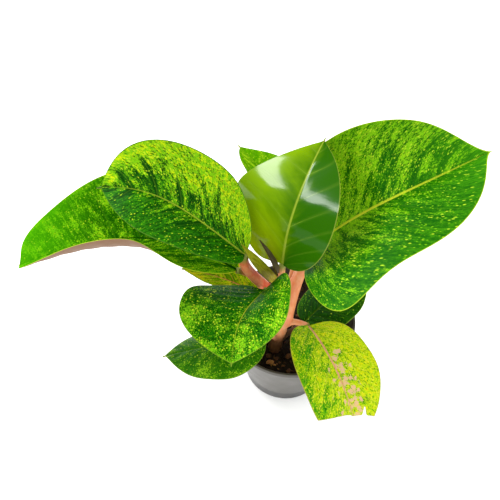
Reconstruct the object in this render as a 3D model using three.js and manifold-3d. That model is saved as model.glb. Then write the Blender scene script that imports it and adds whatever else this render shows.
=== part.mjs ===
// Potted aglaonema with apple green speckled leaves, in a round nursery pot.
// Millimetres, +Z up, the pot stands on z = 0 and the viewer's side is -Y.
import * as THREE from 'three';
import { mergeVertices } from 'three/addons/utils/BufferGeometryUtils.js';
import Module from 'manifold-3d';

const wasm = await Module();
wasm.setup();

const TAU = Math.PI * 2;
const GAP = 0.35;

// Pot
const POT_HEIGHT = 90;
const POT_RIM_RADIUS = 60;
const POT_BASE_RADIUS = 39;
const POT_BAND_HEIGHT = 18.6;
const POT_BAND_RADIUS = 41.9;
const POT_BAND_STEP = 0.9;
const POT_WALL = 1.4;
const POT_FLOOR = 2;
const POT_LIP_DROP = 5;
const POT_LIP_OVERHANG = 1.5;
const POT_SIDES = 56;
const DRAIN_RADIUS = 4;
const DRAIN_CIRCLE = 27;
const DRAIN_COUNT = 6;

// Soil
const SOIL_TOP = 78;
const SOIL_ROOM = 0.5;
const SOIL_RINGS = 9;
const SOIL_SIDES = 40;
const SOIL_ROUGHNESS = 1.6;
const CHUNK_COUNT = 36;
const CHUNK_SMALL = 2.2;
const CHUNK_LARGE = 4.6;
const CANE_ROOM = 9;
const CHUNK_SINK = 0.3;
const BIG_CHUNK = { x: -18, y: -41, size: 5.2 };

// Leaf blades
const BLADE_THICKNESS = 0.8;
const RIB_DEPTH = 1.5;
const SPINE_STEPS = 48;
const BASE_HALF_WIDTH = 2.2;
const TIP_HALF_WIDTH = 0.5;
const LOBE_AT = 0.13;
const BULGE_AT = 0.2;
const BULGE_SPREAD = 0.13;
const EDGE_WAVE_SHIFT = 1.3;
const BLADE_ROWS = 16;
const BLADE_COLUMNS = [-1, -0.8, -0.52, -0.26, -0.06, 0, 0.06, 0.26, 0.52, 0.8, 1];
const CUT_COLUMNS = [-1, -0.8, -0.52, -0.26, -0.06, 0, 0.06, 0.24, 0.38, 0.46, 0.52, 0.58, 0.66, 0.82, 1];

// Cane
const CANE_PATH = [[-14, -26, 42], [-13.5, -26, 78], [-11, -25, 108], [-7, -23, 130]];
const CANE_RADII = [5.6, 6.2, 6.6, 5];
const STALK_SIDES = 10;
const STALK_STEPS = 8;
const CHANNEL_DEPTH = 0.22;
const CHANNEL_SPREAD = 0.5;

// Every blade starts from these values and names only what differs.
const PLAIN_BLADE = {
  heading: 0, turn: 0, rise: 20, bend: -40, bendStart: 1, length: 100, width: 40, rightShare: 1,
  roll: 0, twist: 0, foldLeft: 10, foldRight: 10, curlLeft: 0, curlRight: 0,
  peak: 0.42, bluntBase: 0.6, bluntTip: 1, cusp: 0.96,
  lobeLeft: 0.04, lobeRight: 0.04, bulgeRight: 0, sweep: 0.06, wave: 0.8, waves: 2.3, wavePhase: 0,
  curlRiseLeft: 0,
};

const LEAVES = {
  leaf_right: {
    base: [16.6, 11.7, 188.9], heading: -5.7, turn: 35.5, rise: 57.5, bend: -51, bendStart: 0.945,
    length: 160.8, width: 65.1, rightShare: 0.955, roll: -14.2, twist: 14.9,
    foldLeft: 24.4, foldRight: 15.2, curlLeft: 64, curlRight: -24.9,
    peak: 0.328, bluntBase: 0.582, bluntTip: 1.436, cusp: 0.99, lobeLeft: 0.067, lobeRight: 0.003,
    bulgeRight: 0.48, sweep: 0.085, wavePhase: 40, colour: 0x4f8f1c,
  },
  leaf_new: {
    base: [-14, -19, 197], heading: 63, turn: 7, rise: 90, bend: -96, bendStart: 1.07, length: 126, width: 55,
    rightShare: 0.63, roll: -10, twist: -2, foldLeft: 3, foldRight: 5, curlLeft: -19, curlRight: 0,
    peak: 0.49, bluntBase: 0.66, bluntTip: 0.99, lobeLeft: 0.16, lobeRight: 0.02, sweep: -0.06,
    wave: 0.3, colour: 0x7fae24,
  },
  leaf_left_upper: {
    base: [-44, -23, 213], heading: 162, turn: 8, rise: 35, bend: -54, bendStart: 1.7, length: 130, width: 34,
    rightShare: 1.32, roll: -4, twist: -29, foldLeft: 20, foldRight: 21, curlLeft: 0, curlRight: 24,
    peak: 0.54, bluntBase: 0.62, bluntTip: 0.89, lobeLeft: 0.06, lobeRight: 0.03, sweep: 0.02,
    wavePhase: 120, colour: 0x5c941c,
  },
  leaf_left_outer: {
    base: [-49.6, -21.6, 189.8], heading: 148.7, turn: 46.5, rise: 3.7, bend: -20.7, bendStart: 0.766,
    length: 194.3, width: 55, rightShare: 1.08, roll: 4.1, twist: 12.8,
    foldLeft: 15.6, foldRight: 19, curlLeft: 49.5, curlRight: 39.5, curlRiseLeft: 0.458,
    peak: 0.508, bluntBase: 0.992, bluntTip: 0.365, cusp: 0.99, lobeLeft: 0.041, lobeRight: 0.029,
    sweep: -0.059, wavePhase: 200, colour: 0x4c8a1e,
  },
  leaf_back: {
    base: [-2, 31, 184], heading: 129, turn: 1, rise: 36, bend: -33, length: 89, width: 35,
    rightShare: 1.02, roll: 17, twist: 17, foldLeft: 16, foldRight: 14, curlLeft: 2, curlRight: -2,
    bluntTip: 1.1, colour: 0x4f8f1c,
  },
  leaf_front: {
    base: [-26, -28, 174], heading: 239, turn: 30, rise: 22, bend: -25, bendStart: 1.12, length: 86,
    width: 46, rightShare: 1.05, roll: 46, twist: -48, foldLeft: 21, foldRight: 14, curlRight: 19,
    peak: 0.47, bluntBase: 0.71, lobeLeft: 0.08, lobeRight: 0.15, sweep: 0.07,
    wavePhase: 60, colour: 0x46821c,
  },
  leaf_front_low: {
    base: [-24, -38, 118], heading: 193, turn: -7, rise: -2, bend: -19, length: 91, width: 35,
    roll: 10, twist: 18, foldLeft: 7, foldRight: 3, curlLeft: -36, curlRight: -35,
    peak: 0.43, bluntBase: 0.66, bluntTip: 1.12, lobeLeft: 0.02, sweep: 0.07, colour: 0x3a7a1a,
  },
  leaf_pale: {
    base: [13, -31, 126], heading: 297, turn: 6, rise: 20, bend: -80, bendStart: 0.72, length: 116, width: 35,
    rightShare: 1.02, roll: -16, twist: 10, foldRight: 16, curlLeft: -6, curlRight: -24,
    peak: 0.41, bluntBase: 0.58, bluntTip: 0.96, lobeLeft: 0.05, lobeRight: -0.01, sweep: 0.12,
    cut: { at: 0.785, slope: 0.25, notchAt: 0.52, notchSpread: 0.07, notchDepth: 0.07 }, colour: 0xa9b42c,
  },
  leaf_right_low: {
    base: [11, -13, 102], heading: 35, turn: -4, rise: 36, bend: -2, length: 81, width: 29,
    rightShare: 1.03, roll: -11, twist: -4, foldLeft: 3, foldRight: 8, curlLeft: -30, curlRight: -24,
    peak: 0.46, bluntBase: 0.64, bluntTip: 1.11, lobeLeft: 0.06, colour: 0x2f6a1a,
  },
  leaf_left_low: {
    base: [-31, 5, 118], heading: 171, turn: 7, rise: 28, bend: -17, length: 73, width: 26,
    roll: 12, twist: 16, foldLeft: 16, foldRight: 13, curlLeft: -3, curlRight: -15,
    bluntTip: 0.85, sweep: 0.13, colour: 0x76932a,
  },
};

// Leaf stalks: where each leaves the cane, its handle there, its handle at the blade, and its radii.
const STALKS = {
  leaf_right: {
    start: [-7, -23, 118], away: [1, 2, 32], into: [13, 4, 20], from: 6.8, to: 3.2, thin: 1.4,
  },
  leaf_new: {
    start: [-9, -22, 122], away: [-2, 3, 28], into: [1, 4, 24], from: 5, to: 2.8, thin: 0.8,
  },
  leaf_left_upper: {
    start: [-10, -21, 122], away: [4, 8, 28], into: [6, 0, 28], from: 5.4, to: 4, thin: 1,
  },
  leaf_left_outer: {
    start: [-10, -18, 113], away: [2, 15, 12], into: [-16, -14, 22], from: 4.2, to: 2.6, thin: 0.8,
  },
  leaf_back: {
    start: [-8, -18, 116], away: [0, 12, 22], into: [-8, 12, 14], from: 4.2, to: 2.2, thin: 0.8,
  },
  leaf_front: {
    start: [-11, -25, 108], away: [-5, -2, 26], into: [-7, -8, 17], from: 4.2, to: 2.4, thin: 0.8,
  },
  leaf_front_low: {
    start: [-12, -26, 92], away: [-2, -4, 14], into: [-6, -2, 2], from: 3.4, to: 2, thin: 0.8,
  },
  leaf_pale: {
    start: [-9, -24, 112], away: [6, 0, 14], into: [5, -4, 2], from: 3.6, to: 2.2, thin: 0.8,
  },
  leaf_right_low: {
    start: [-11, -24, 88], away: [6, 3, 8], into: [5, 4, 5], from: 3.4, to: 2, thin: 0.8,
  },
  leaf_left_low: {
    start: [-11, -23, 94], away: [-5, 9, 12], into: [-7, 2, 4], from: 3.4, to: 1.9, thin: 0.8,
  },
};

// The two sheath leaves beside the newest leaf: slim pointed channels.
const SHEATHS = {
  stalk_sheath: {
    base: [-17.5, -19.6, 173.7], heading: 193, turn: 0, rise: 62, bend: 0, length: 64, width: 3.6,
    roll: -80, peak: 0.45,
    foldLeft: 15, foldRight: 15, curlLeft: 20, curlRight: 20, lobeLeft: 0, lobeRight: 0, sweep: 0,
    wave: 0, colour: 0x8d8a3a,
  },
  bud_sheath: {
    base: [-18, -23, 189], heading: 162, turn: 0, rise: 71, bend: -9, length: 40, width: 2.6, peak: 0.35,
    foldLeft: 30, foldRight: 30, curlLeft: 20, curlRight: 20, lobeLeft: 0, lobeRight: 0, sweep: 0,
    wave: 0, colour: 0x5a4a24,
  },
};

const vec = (a) => new THREE.Vector3(a[0], a[1], a[2]);
const clamp01 = (v) => Math.min(1, Math.max(0, v));
const ease = (v) => (1 - Math.cos(Math.PI * v)) / 2;
const radians = THREE.MathUtils.degToRad;

function manifoldFrom(positions, triangles) {
  const mesh = new wasm.Mesh({
    numProp: 3,
    vertProperties: Float32Array.from(positions.flatMap((p) => [p.x, p.y, p.z])),
    triVerts: Uint32Array.from(triangles.flat()),
  });
  return new wasm.Manifold(mesh);
}

function fromGeometry(geometry) {
  const bare = new THREE.BufferGeometry();
  bare.setAttribute('position', geometry.getAttribute('position').clone());
  bare.setIndex(geometry.getIndex());
  const merged = mergeVertices(bare, 1e-3);
  const place = merged.getAttribute('position');
  const index = merged.getIndex().array;
  const positions = [];
  for (let i = 0; i < place.count; i += 1) {
    positions.push(new THREE.Vector3().fromBufferAttribute(place, i));
  }
  const triangles = [];
  for (let i = 0; i < index.length; i += 3) {
    const corner = [index[i], index[i + 1], index[i + 2]];
    if (corner[0] !== corner[1] && corner[1] !== corner[2] && corner[0] !== corner[2]) {
      triangles.push(corner);
    }
  }
  return manifoldFrom(positions, triangles);
}

function meshOf(name, solid, colour, roughness) {
  const data = solid.getMesh();
  const geometry = new THREE.BufferGeometry();
  geometry.setAttribute('position', new THREE.BufferAttribute(Float32Array.from(data.vertProperties), 3));
  geometry.setIndex(new THREE.BufferAttribute(Uint32Array.from(data.triVerts), 1));
  geometry.computeVertexNormals();
  const material = new THREE.MeshStandardMaterial({ color: colour, roughness, metalness: 0 });
  const mesh = new THREE.Mesh(geometry, material);
  mesh.name = name;
  return mesh;
}

// A profile turned about the Z axis, seen as radius and height pairs.
function turned(profile, sides) {
  const points = profile.map(([r, z]) => new THREE.Vector2(r, z));
  const geometry = new THREE.LatheGeometry(points, sides);
  geometry.rotateX(Math.PI / 2);
  return fromGeometry(geometry);
}

// Radius inside the tapering side at height z.
function wallInside(z) {
  const rise = POT_HEIGHT - POT_LIP_DROP - POT_BAND_HEIGHT;
  const flare = (POT_RIM_RADIUS - POT_LIP_OVERHANG - POT_BAND_RADIUS) / rise;
  return POT_BAND_RADIUS + flare * (z - POT_BAND_HEIGHT) - POT_WALL;
}

// The pot wall: foot band, step, tapering side, rim lip, and the same line again inside.
function potSolid() {
  const under = POT_HEIGHT - POT_LIP_DROP;
  const profile = [
    [0, 0],
    [POT_BASE_RADIUS - 1, 0],
    [POT_BASE_RADIUS, 1],
    [POT_BAND_RADIUS, POT_BAND_HEIGHT],
    [POT_BAND_RADIUS + POT_BAND_STEP, POT_BAND_HEIGHT + 0.4],
    [POT_RIM_RADIUS - POT_LIP_OVERHANG, under],
    [POT_RIM_RADIUS, under + 0.6],
    [POT_RIM_RADIUS, POT_HEIGHT - 0.5],
    [POT_RIM_RADIUS - 0.5, POT_HEIGHT],
    [POT_RIM_RADIUS - POT_WALL - 0.7, POT_HEIGHT],
    [wallInside(under), under - 1],
    [wallInside(POT_BAND_HEIGHT), POT_BAND_HEIGHT],
    [POT_BASE_RADIUS - POT_WALL, POT_FLOOR + 1],
    [POT_BASE_RADIUS - POT_WALL - 1, POT_FLOOR],
    [0, POT_FLOOR],
  ];
  let pot = turned(profile, POT_SIDES);
  for (let i = 0; i < DRAIN_COUNT; i += 1) {
    const angle = (i * TAU) / DRAIN_COUNT + 0.3;
    const hole = wasm.Manifold.cylinder(POT_FLOOR + 2, DRAIN_RADIUS, DRAIN_RADIUS, 16)
      .translate([DRAIN_CIRCLE * Math.cos(angle), DRAIN_CIRCLE * Math.sin(angle), -1]);
    pot = pot.subtract(hole);
  }
  return pot;
}

function randomFrom(seed) {
  let state = seed;
  return () => {
    state = (state * 1664525 + 1013904223) % 4294967296;
    return state / 4294967296;
  };
}

// Height of the crumbly top over its mean level.
function crumb(x, y) {
  const broad = Math.sin(x * 0.21 + 1.3) * Math.cos(y * 0.17 - 0.4);
  const fine = Math.sin(x * 0.83 - y * 0.61) * Math.sin(y * 0.93 + x * 0.37 + 2.1);
  return SOIL_ROUGHNESS * (0.6 * broad + 0.3 * fine);
}

// The potting mix follows the inside of the pot a gap away and has a crumbly top with bark in it.
function soilSolid(caneHole) {
  const inside = (z) => wallInside(z) - SOIL_ROOM;
  const floorZ = POT_FLOOR + GAP;
  const side = [
    [POT_BASE_RADIUS - POT_WALL - SOIL_ROOM - 1, floorZ],
    [POT_BASE_RADIUS - POT_WALL - SOIL_ROOM, floorZ + 1.2],
    [inside(POT_BAND_HEIGHT), POT_BAND_HEIGHT],
    [inside(SOIL_TOP - 2), SOIL_TOP - 2],
  ];
  const rim = inside(SOIL_TOP - 2);
  const positions = [new THREE.Vector3(0, 0, floorZ)];
  const addRing = (radius, height) => {
    for (let i = 0; i < SOIL_SIDES; i += 1) {
      const a = (i * TAU) / SOIL_SIDES;
      const x = radius * Math.cos(a);
      const y = radius * Math.sin(a);
      positions.push(new THREE.Vector3(x, y, height(x, y)));
    }
  };
  side.forEach(([r, z]) => addRing(r, () => z));
  for (let ring = 0; ring < SOIL_RINGS; ring += 1) {
    const share = (SOIL_RINGS - ring) / SOIL_RINGS;
    addRing(rim * share, (x, y) => SOIL_TOP + crumb(x, y) * Math.min(1, (1.15 - share) * 4));
  }
  positions.push(new THREE.Vector3(0, 0, SOIL_TOP + crumb(0, 0)));
  const rings = side.length + SOIL_RINGS;
  const last = positions.length - 1;
  const at = (ring, i) => 1 + ring * SOIL_SIDES + (i % SOIL_SIDES);
  const triangles = [];
  for (let i = 0; i < SOIL_SIDES; i += 1) {
    triangles.push([0, at(0, i + 1), at(0, i)]);
    for (let ring = 0; ring < rings - 1; ring += 1) {
      triangles.push([at(ring, i), at(ring, i + 1), at(ring + 1, i + 1)]);
      triangles.push([at(ring, i), at(ring + 1, i + 1), at(ring + 1, i)]);
    }
    triangles.push([at(rings - 1, i), at(rings - 1, i + 1), last]);
  }
  let soil = manifoldFrom(positions, triangles);
  const random = randomFrom(41);
  const chunks = [BIG_CHUNK];
  for (let i = 0; i < CHUNK_COUNT; i += 1) {
    const angle = random() * TAU;
    const radius = (rim - CHUNK_LARGE - 1) * Math.sqrt(random());
    const size = CHUNK_SMALL + (CHUNK_LARGE - CHUNK_SMALL) * random() ** 2;
    const x = radius * Math.cos(angle);
    const y = radius * Math.sin(angle);
    const clear = Math.hypot(x - CANE_PATH[1][0], y - CANE_PATH[1][1]) > CANE_ROOM + size;
    if (clear) chunks.push({ x, y, size });
  }
  chunks.forEach(({ x, y, size }) => {
    const lump = new THREE.IcosahedronGeometry(size, 0);
    lump.scale(1, 0.62 + 0.3 * random(), 0.5);
    lump.rotateX((random() - 0.5) * 1.2);
    lump.rotateZ(random() * TAU);
    lump.translate(x, y, SOIL_TOP + crumb(x, y) - CHUNK_SINK);
    soil = soil.add(fromGeometry(lump));
  });
  return soil.subtract(caneHole);
}

// A leaf blade laid out on its arching midrib.
class Blade {
  constructor(sizes) {
    Object.assign(this, PLAIN_BLADE, sizes);
    this.places = [vec(this.base)];
    this.directions = [this.direction(0)];
    const step = this.length / SPINE_STEPS;
    for (let i = 1; i <= SPINE_STEPS; i += 1) {
      const next = this.direction(i / SPINE_STEPS);
      const mean = this.directions[i - 1].clone().add(next).multiplyScalar(step / 2);
      this.places.push(this.places[i - 1].clone().add(mean));
      this.directions.push(next);
    }
  }

  bearing(u) {
    return radians(this.heading + this.turn * ease(u ** this.bendStart));
  }

  direction(u) {
    const up = radians(this.rise + this.bend * ease(u ** this.bendStart));
    const round = this.bearing(u);
    return new THREE.Vector3(Math.cos(up) * Math.cos(round), Math.cos(up) * Math.sin(round), Math.sin(up));
  }

  // Half width of the outline at the share t of the length.
  halfWidth(t, side) {
    const skew = Math.log(0.5) / Math.log(this.peak);
    const blunt = this.bluntBase + (this.bluntTip - this.bluntBase) * t * t;
    const swell = Math.max(0, Math.sin(Math.PI * clamp01(t / this.cusp) ** skew)) ** blunt;
    const shoulder = Math.exp(-(((t - BULGE_AT) / BULGE_SPREAD) ** 2)) * clamp01(t / 0.05);
    const share = side < 0 ? this.rightShare : 1;
    const extra = side < 0 ? this.bulgeRight : 0;
    const neck = BASE_HALF_WIDTH + (TIP_HALF_WIDTH - BASE_HALF_WIDTH) * t;
    return neck + share * this.width * (swell + extra * shoulder);
  }

  // How far the outline runs ahead of (or, in the base lobes, behind) the midrib point.
  lead(t, side) {
    const lobe = side < 0 ? this.lobeRight : this.lobeLeft;
    const forward = this.sweep * Math.sin(Math.PI * t) * t * 1.6;
    return this.length * (forward - lobe * (t / LOBE_AT) * Math.exp(1 - t / LOBE_AT));
  }

  // Where the blade ends, as a share of its length: short of the tip on a cut leaf.
  end(s) {
    if (!this.cut) return 1;
    const { at, slope, notchAt, notchSpread, notchDepth } = this.cut;
    const notch = notchDepth * Math.exp(-(((s - notchAt) / notchSpread) ** 2));
    return at + Math.min(0, s) * slope - notch;
  }

  // Point of the middle surface at share t of the length and share s of the half width.
  point(row, s) {
    const t = row * this.end(s);
    const ahead = Math.abs(s) ** 1.4 * this.lead(t, s);
    const across = s * this.halfWidth(t, s);
    const share = Math.min(1.3, Math.max(-1, t + ahead / this.length));
    const held = clamp01(share);
    const slot = Math.min(SPINE_STEPS - 1, Math.floor(held * SPINE_STEPS));
    const part = held * SPINE_STEPS - slot;
    const place = this.places[slot].clone().lerp(this.places[slot + 1], part);
    const along = this.directions[slot].clone().lerp(this.directions[slot + 1], part).normalize();
    place.addScaledVector(along, (share - held) * this.length);
    const round = this.bearing(held);
    const level = new THREE.Vector3(-Math.sin(round), Math.cos(round), 0);
    const raised = along.clone().cross(level);
    const roll = radians(this.roll + this.twist * held);
    const sideways = level.clone().multiplyScalar(Math.cos(roll)).addScaledVector(raised, Math.sin(roll));
    const upward = raised.clone().multiplyScalar(Math.cos(roll)).addScaledVector(level, -Math.sin(roll));
    const left = across >= 0;
    const fold = radians(left ? this.foldLeft : this.foldRight);
    const late = left && this.curlRiseLeft > 0 ? ease(clamp01(t / this.curlRiseLeft)) : 1;
    const curl = (late * radians(left ? this.curlLeft : this.curlRight)) / this.width || 1e-6;
    const reach = Math.abs(across);
    const out = (Math.sin(fold + curl * reach) - Math.sin(fold)) / curl;
    const lift = (Math.cos(fold) - Math.cos(fold + curl * reach)) / curl;
    const phase = TAU * this.waves * held + radians(this.wavePhase) + (left ? 0 : EDGE_WAVE_SHIFT);
    const wave = this.wave * (reach / this.width) ** 2 * Math.sin(phase);
    place.addScaledVector(sideways, Math.sign(across) * out);
    return place.addScaledVector(upward, lift + wave);
  }

  normal(row, s) {
    const t = Math.min(0.985, Math.max(0.015, row));
    const ahead = this.point(t + 0.01, s * 0.98).sub(this.point(t - 0.01, s * 0.98));
    const aside = this.point(t, Math.min(1, s + 0.04)).sub(this.point(t, Math.max(-1, s - 0.04)));
    return ahead.cross(aside).normalize();
  }

  // Two faces a blade's thickness apart, split alike, with a rib under the midrib.
  solid() {
    const columns = this.cut ? CUT_COLUMNS : BLADE_COLUMNS;
    const rows = this.rows || BLADE_ROWS;
    const wide = columns.length;
    const positions = [];
    const addPair = (row, s) => {
      const middle = this.point(row, s);
      const normal = this.normal(row, s);
      const rib = s === 0 ? RIB_DEPTH * (1 - 0.8 * row) : 0;
      positions.push(middle.clone().addScaledVector(normal, BLADE_THICKNESS / 2));
      positions.push(middle.clone().addScaledVector(normal, -BLADE_THICKNESS / 2 - rib));
    };
    const pointed = !this.cut;
    const fullRows = pointed ? rows : rows + 1;
    for (let i = 0; i < fullRows; i += 1) {
      columns.forEach((s) => addPair(i / rows, s));
    }
    if (pointed) addPair(1, 0.001);
    const top = (i, j) => 2 * (i * wide + j);
    const under = (i, j) => top(i, j) + 1;
    const triangles = [];
    const quad = (a, b, c, d) => triangles.push([a, b, c], [a, c, d]);
    for (let i = 0; i < fullRows - 1; i += 1) {
      for (let j = 0; j < wide - 1; j += 1) {
        quad(top(i, j), top(i + 1, j), top(i + 1, j + 1), top(i, j + 1));
        quad(under(i, j), under(i, j + 1), under(i + 1, j + 1), under(i + 1, j));
      }
      quad(top(i, 0), under(i, 0), under(i + 1, 0), top(i + 1, 0));
      quad(top(i, wide - 1), top(i + 1, wide - 1), under(i + 1, wide - 1), under(i, wide - 1));
    }
    const final = fullRows - 1;
    for (let j = 0; j < wide - 1; j += 1) {
      quad(top(0, j), top(0, j + 1), under(0, j + 1), under(0, j));
      if (!pointed) quad(top(final, j), under(final, j), under(final, j + 1), top(final, j + 1));
    }
    if (pointed) {
      const tip = positions.length - 2;
      for (let j = 0; j < wide - 1; j += 1) {
        triangles.push([top(final, j), tip, top(final, j + 1)]);
        triangles.push([under(final, j), under(final, j + 1), tip + 1]);
      }
      quad(top(final, 0), under(final, 0), tip + 1, tip);
      quad(top(final, wide - 1), tip, tip + 1, under(final, wide - 1));
    }
    return manifoldFrom(positions, triangles);
  }
}

// A closed tube through the given places, with a shallow channel facing the given way.
function tube(places, radii, facing, channel) {
  const positions = [];
  places.forEach((place, i) => {
    const before = places[Math.max(0, i - 1)];
    const after = places[Math.min(places.length - 1, i + 1)];
    const along = after.clone().sub(before).normalize();
    const front = facing.clone().addScaledVector(along, -facing.dot(along)).normalize();
    const side = along.clone().cross(front);
    for (let k = 0; k < STALK_SIDES; k += 1) {
      const a = (k * TAU) / STALK_SIDES;
      const away = Math.min(a, TAU - a) / CHANNEL_SPREAD;
      const radius = radii[i] * (1 - channel * Math.exp(-away * away));
      positions.push(place.clone()
        .addScaledVector(front, radius * Math.cos(a))
        .addScaledVector(side, radius * Math.sin(a)));
    }
  });
  positions.push(places[0].clone(), places[places.length - 1].clone());
  const first = positions.length - 2;
  const last = positions.length - 1;
  const rings = places.length;
  const at = (ring, k) => ring * STALK_SIDES + (k % STALK_SIDES);
  const triangles = [];
  for (let k = 0; k < STALK_SIDES; k += 1) {
    triangles.push([first, at(0, k + 1), at(0, k)]);
    for (let ring = 0; ring < rings - 1; ring += 1) {
      triangles.push([at(ring, k), at(ring, k + 1), at(ring + 1, k + 1)]);
      triangles.push([at(ring, k), at(ring + 1, k + 1), at(ring + 1, k)]);
    }
    triangles.push([last, at(rings - 1, k), at(rings - 1, k + 1)]);
  }
  return manifoldFrom(positions, triangles);
}

// The cane with every leaf stalk grown into it; extra makes the same form thicker all round.
function caneSolid(extra) {
  const places = CANE_PATH.map(vec);
  if (extra > 0) places[0].z -= extra;
  const curve = new THREE.CatmullRomCurve3(places);
  const samples = [];
  const radii = [];
  const steps = (CANE_PATH.length - 1) * 3;
  for (let i = 0; i <= steps; i += 1) {
    const along = i / steps;
    const span = along * (CANE_RADII.length - 1);
    const slot = Math.min(CANE_RADII.length - 2, Math.floor(span));
    samples.push(curve.getPoint(along));
    radii.push(CANE_RADII[slot] + (CANE_RADII[slot + 1] - CANE_RADII[slot]) * (span - slot) + extra);
  }
  return tube(samples, radii, new THREE.Vector3(0, 1, 0), 0);
}

function stalkSolid(stalk, blade, extra) {
  const start = vec(stalk.start);
  const end = blade.places[0].clone().addScaledVector(blade.directions[0], extra > 0 ? 0 : -GAP);
  const curve = new THREE.CubicBezierCurve3(
    start,
    start.clone().add(vec(stalk.away)),
    end.clone().sub(vec(stalk.into)),
    end,
  );
  const places = [];
  const radii = [];
  for (let i = 0; i <= STALK_STEPS; i += 1) {
    const share = i / STALK_STEPS;
    places.push(curve.getPoint(share));
    radii.push(stalk.from + (stalk.to - stalk.from) * share ** stalk.thin + extra);
  }
  const round = blade.bearing(0);
  const facing = new THREE.Vector3(-Math.cos(round), -Math.sin(round), 1);
  return tube(places, radii, facing, CHANNEL_DEPTH);
}

function stemsSolid(blades, extra) {
  let stems = caneSolid(extra);
  Object.entries(STALKS).forEach(([name, stalk]) => {
    stems = stems.add(stalkSolid(stalk, blades[name], extra));
  });
  return stems;
}

const blades = {};
Object.entries(LEAVES).forEach(([name, sizes]) => {
  blades[name] = new Blade(sizes);
});
const stems = stemsSolid(blades, 0);
const stemsRoom = stemsSolid(blades, GAP);

const plant = new THREE.Group();
plant.name = 'potted_aglaonema';
plant.add(meshOf('pot', potSolid(), 0x2b2b2d, 0.38));
plant.add(meshOf('soil', soilSolid(caneSolid(GAP)), 0x3a2718, 0.95));
plant.add(meshOf('stems', stems, 0xd89a86, 0.5));
Object.entries(blades).forEach(([name, blade]) => {
  plant.add(meshOf(name, blade.solid().subtract(stemsRoom), blade.colour, 0.4));
});
Object.entries(SHEATHS).forEach(([name, sizes]) => {
  const sheath = new Blade({ ...sizes, rows: 10 });
  plant.add(meshOf(name, sheath.solid().subtract(stemsRoom), sizes.colour, 0.5));
});

export default plant;
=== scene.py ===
"""Potted aglaonema with apple green speckled leaves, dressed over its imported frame.

Every solid of the frame is replaced here by a finer piece of the same form: blades laid out on their
arching midribs, stalks grown into one cane, a bark mix and a nursery pot. Sizes are in millimetres
and become metres when a mesh is written. Heights run along +Z, and the viewer's side is -Y.
"""

import logging
import math
import random
from collections.abc import Iterator
from contextlib import contextmanager
from dataclasses import dataclass, field
from enum import Enum

import bpy
import numpy as np
from mathutils import Euler, Matrix, Vector


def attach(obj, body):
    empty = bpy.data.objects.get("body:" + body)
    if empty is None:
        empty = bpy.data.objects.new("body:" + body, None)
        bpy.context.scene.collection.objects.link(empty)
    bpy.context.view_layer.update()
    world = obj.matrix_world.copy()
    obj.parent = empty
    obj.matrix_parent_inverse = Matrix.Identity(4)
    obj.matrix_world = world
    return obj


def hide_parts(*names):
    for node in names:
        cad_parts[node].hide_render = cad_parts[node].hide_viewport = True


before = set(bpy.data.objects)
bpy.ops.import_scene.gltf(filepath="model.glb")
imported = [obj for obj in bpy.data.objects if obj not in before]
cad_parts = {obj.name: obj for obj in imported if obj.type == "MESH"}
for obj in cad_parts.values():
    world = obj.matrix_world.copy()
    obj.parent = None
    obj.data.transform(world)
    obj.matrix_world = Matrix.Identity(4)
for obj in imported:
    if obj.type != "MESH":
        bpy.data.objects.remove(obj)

log = logging.getLogger("aglaonema")

Place = tuple[float, float, float]
Colour = tuple[float, float, float]
Value = bpy.types.NodeSocket | float

MM = 0.001
BODY = "root"
TAU = math.tau
STUDIO_LIGHT = 1.95


class Slot(Enum):
    """The material slots."""

    POT = "pot_plastic"
    MIX = "potting_mix"
    STALK = "stalk_pink"
    SPECKLED = "leaf_speckled"
    YOUNG = "leaf_young"
    DARK = "leaf_dark"
    PALE = "leaf_pale"
    SHEATH = "sheath_olive"


def eased(share: np.ndarray) -> np.ndarray:
    """Gives a smooth rise from 0 to 1 for a share from 0 to 1."""
    return (1 - np.cos(np.pi * share)) / 2


def smooth(low: float, high: float, value: np.ndarray) -> np.ndarray:
    """Gives 0 below low, 1 above high and a smooth rise between.

    Args:
        low: The value where the rise starts.
        high: The value where it ends.
        value: The values to grade.

    Returns:
        The graded values.
    """
    share = np.clip((value - low) / (high - low), 0, 1)
    return share * share * (3 - 2 * share)


def linear(red: int, green: int, blue: int) -> Colour:
    """Turns a screen colour of 0 to 255 a channel into the linear colour that shaders take.

    Args:
        red: Red, 0 to 255.
        green: Green, 0 to 255.
        blue: Blue, 0 to 255.

    Returns:
        The linear colour.
    """
    shares = (channel / 255 for channel in (red, green, blue))
    return tuple(c / 12.92 if c <= 0.04045 else ((c + 0.055) / 1.055) ** 2.4 for c in shares)


def seen(red: int, green: int, blue: int) -> Colour:
    """Turns a colour as it shows in the studio light into the surface's own linear colour."""
    return tuple(channel / STUDIO_LIGHT for channel in linear(red, green, blue))


def pick(piece: bpy.types.Object) -> None:
    """Selects one piece alone and makes it the active one.

    Args:
        piece: The piece.
    """
    bpy.ops.object.select_all(action="DESELECT")
    piece.select_set(True)
    bpy.context.view_layer.objects.active = piece


@contextmanager
def editing(piece: bpy.types.Object) -> Iterator[None]:
    """Holds one piece in edit mode with all of its mesh selected.

    Args:
        piece: The piece.

    Yields:
        Nothing, once edit mode is on.
    """
    pick(piece)
    bpy.ops.object.mode_set(mode="EDIT")
    bpy.ops.mesh.select_all(action="SELECT")
    yield
    bpy.ops.object.mode_set(mode="OBJECT")


def read_points(mesh: bpy.types.Mesh, kind: str = "co") -> np.ndarray:
    """Reads the places, or another vector, of all the vertices of a mesh.

    Args:
        mesh: The mesh.
        kind: "co" for places or "normal" for normals.

    Returns:
        One row of three numbers a vertex.
    """
    values = np.zeros(len(mesh.vertices) * 3)
    mesh.vertices.foreach_get(kind, values)
    return values.reshape(-1, 3)


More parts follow.
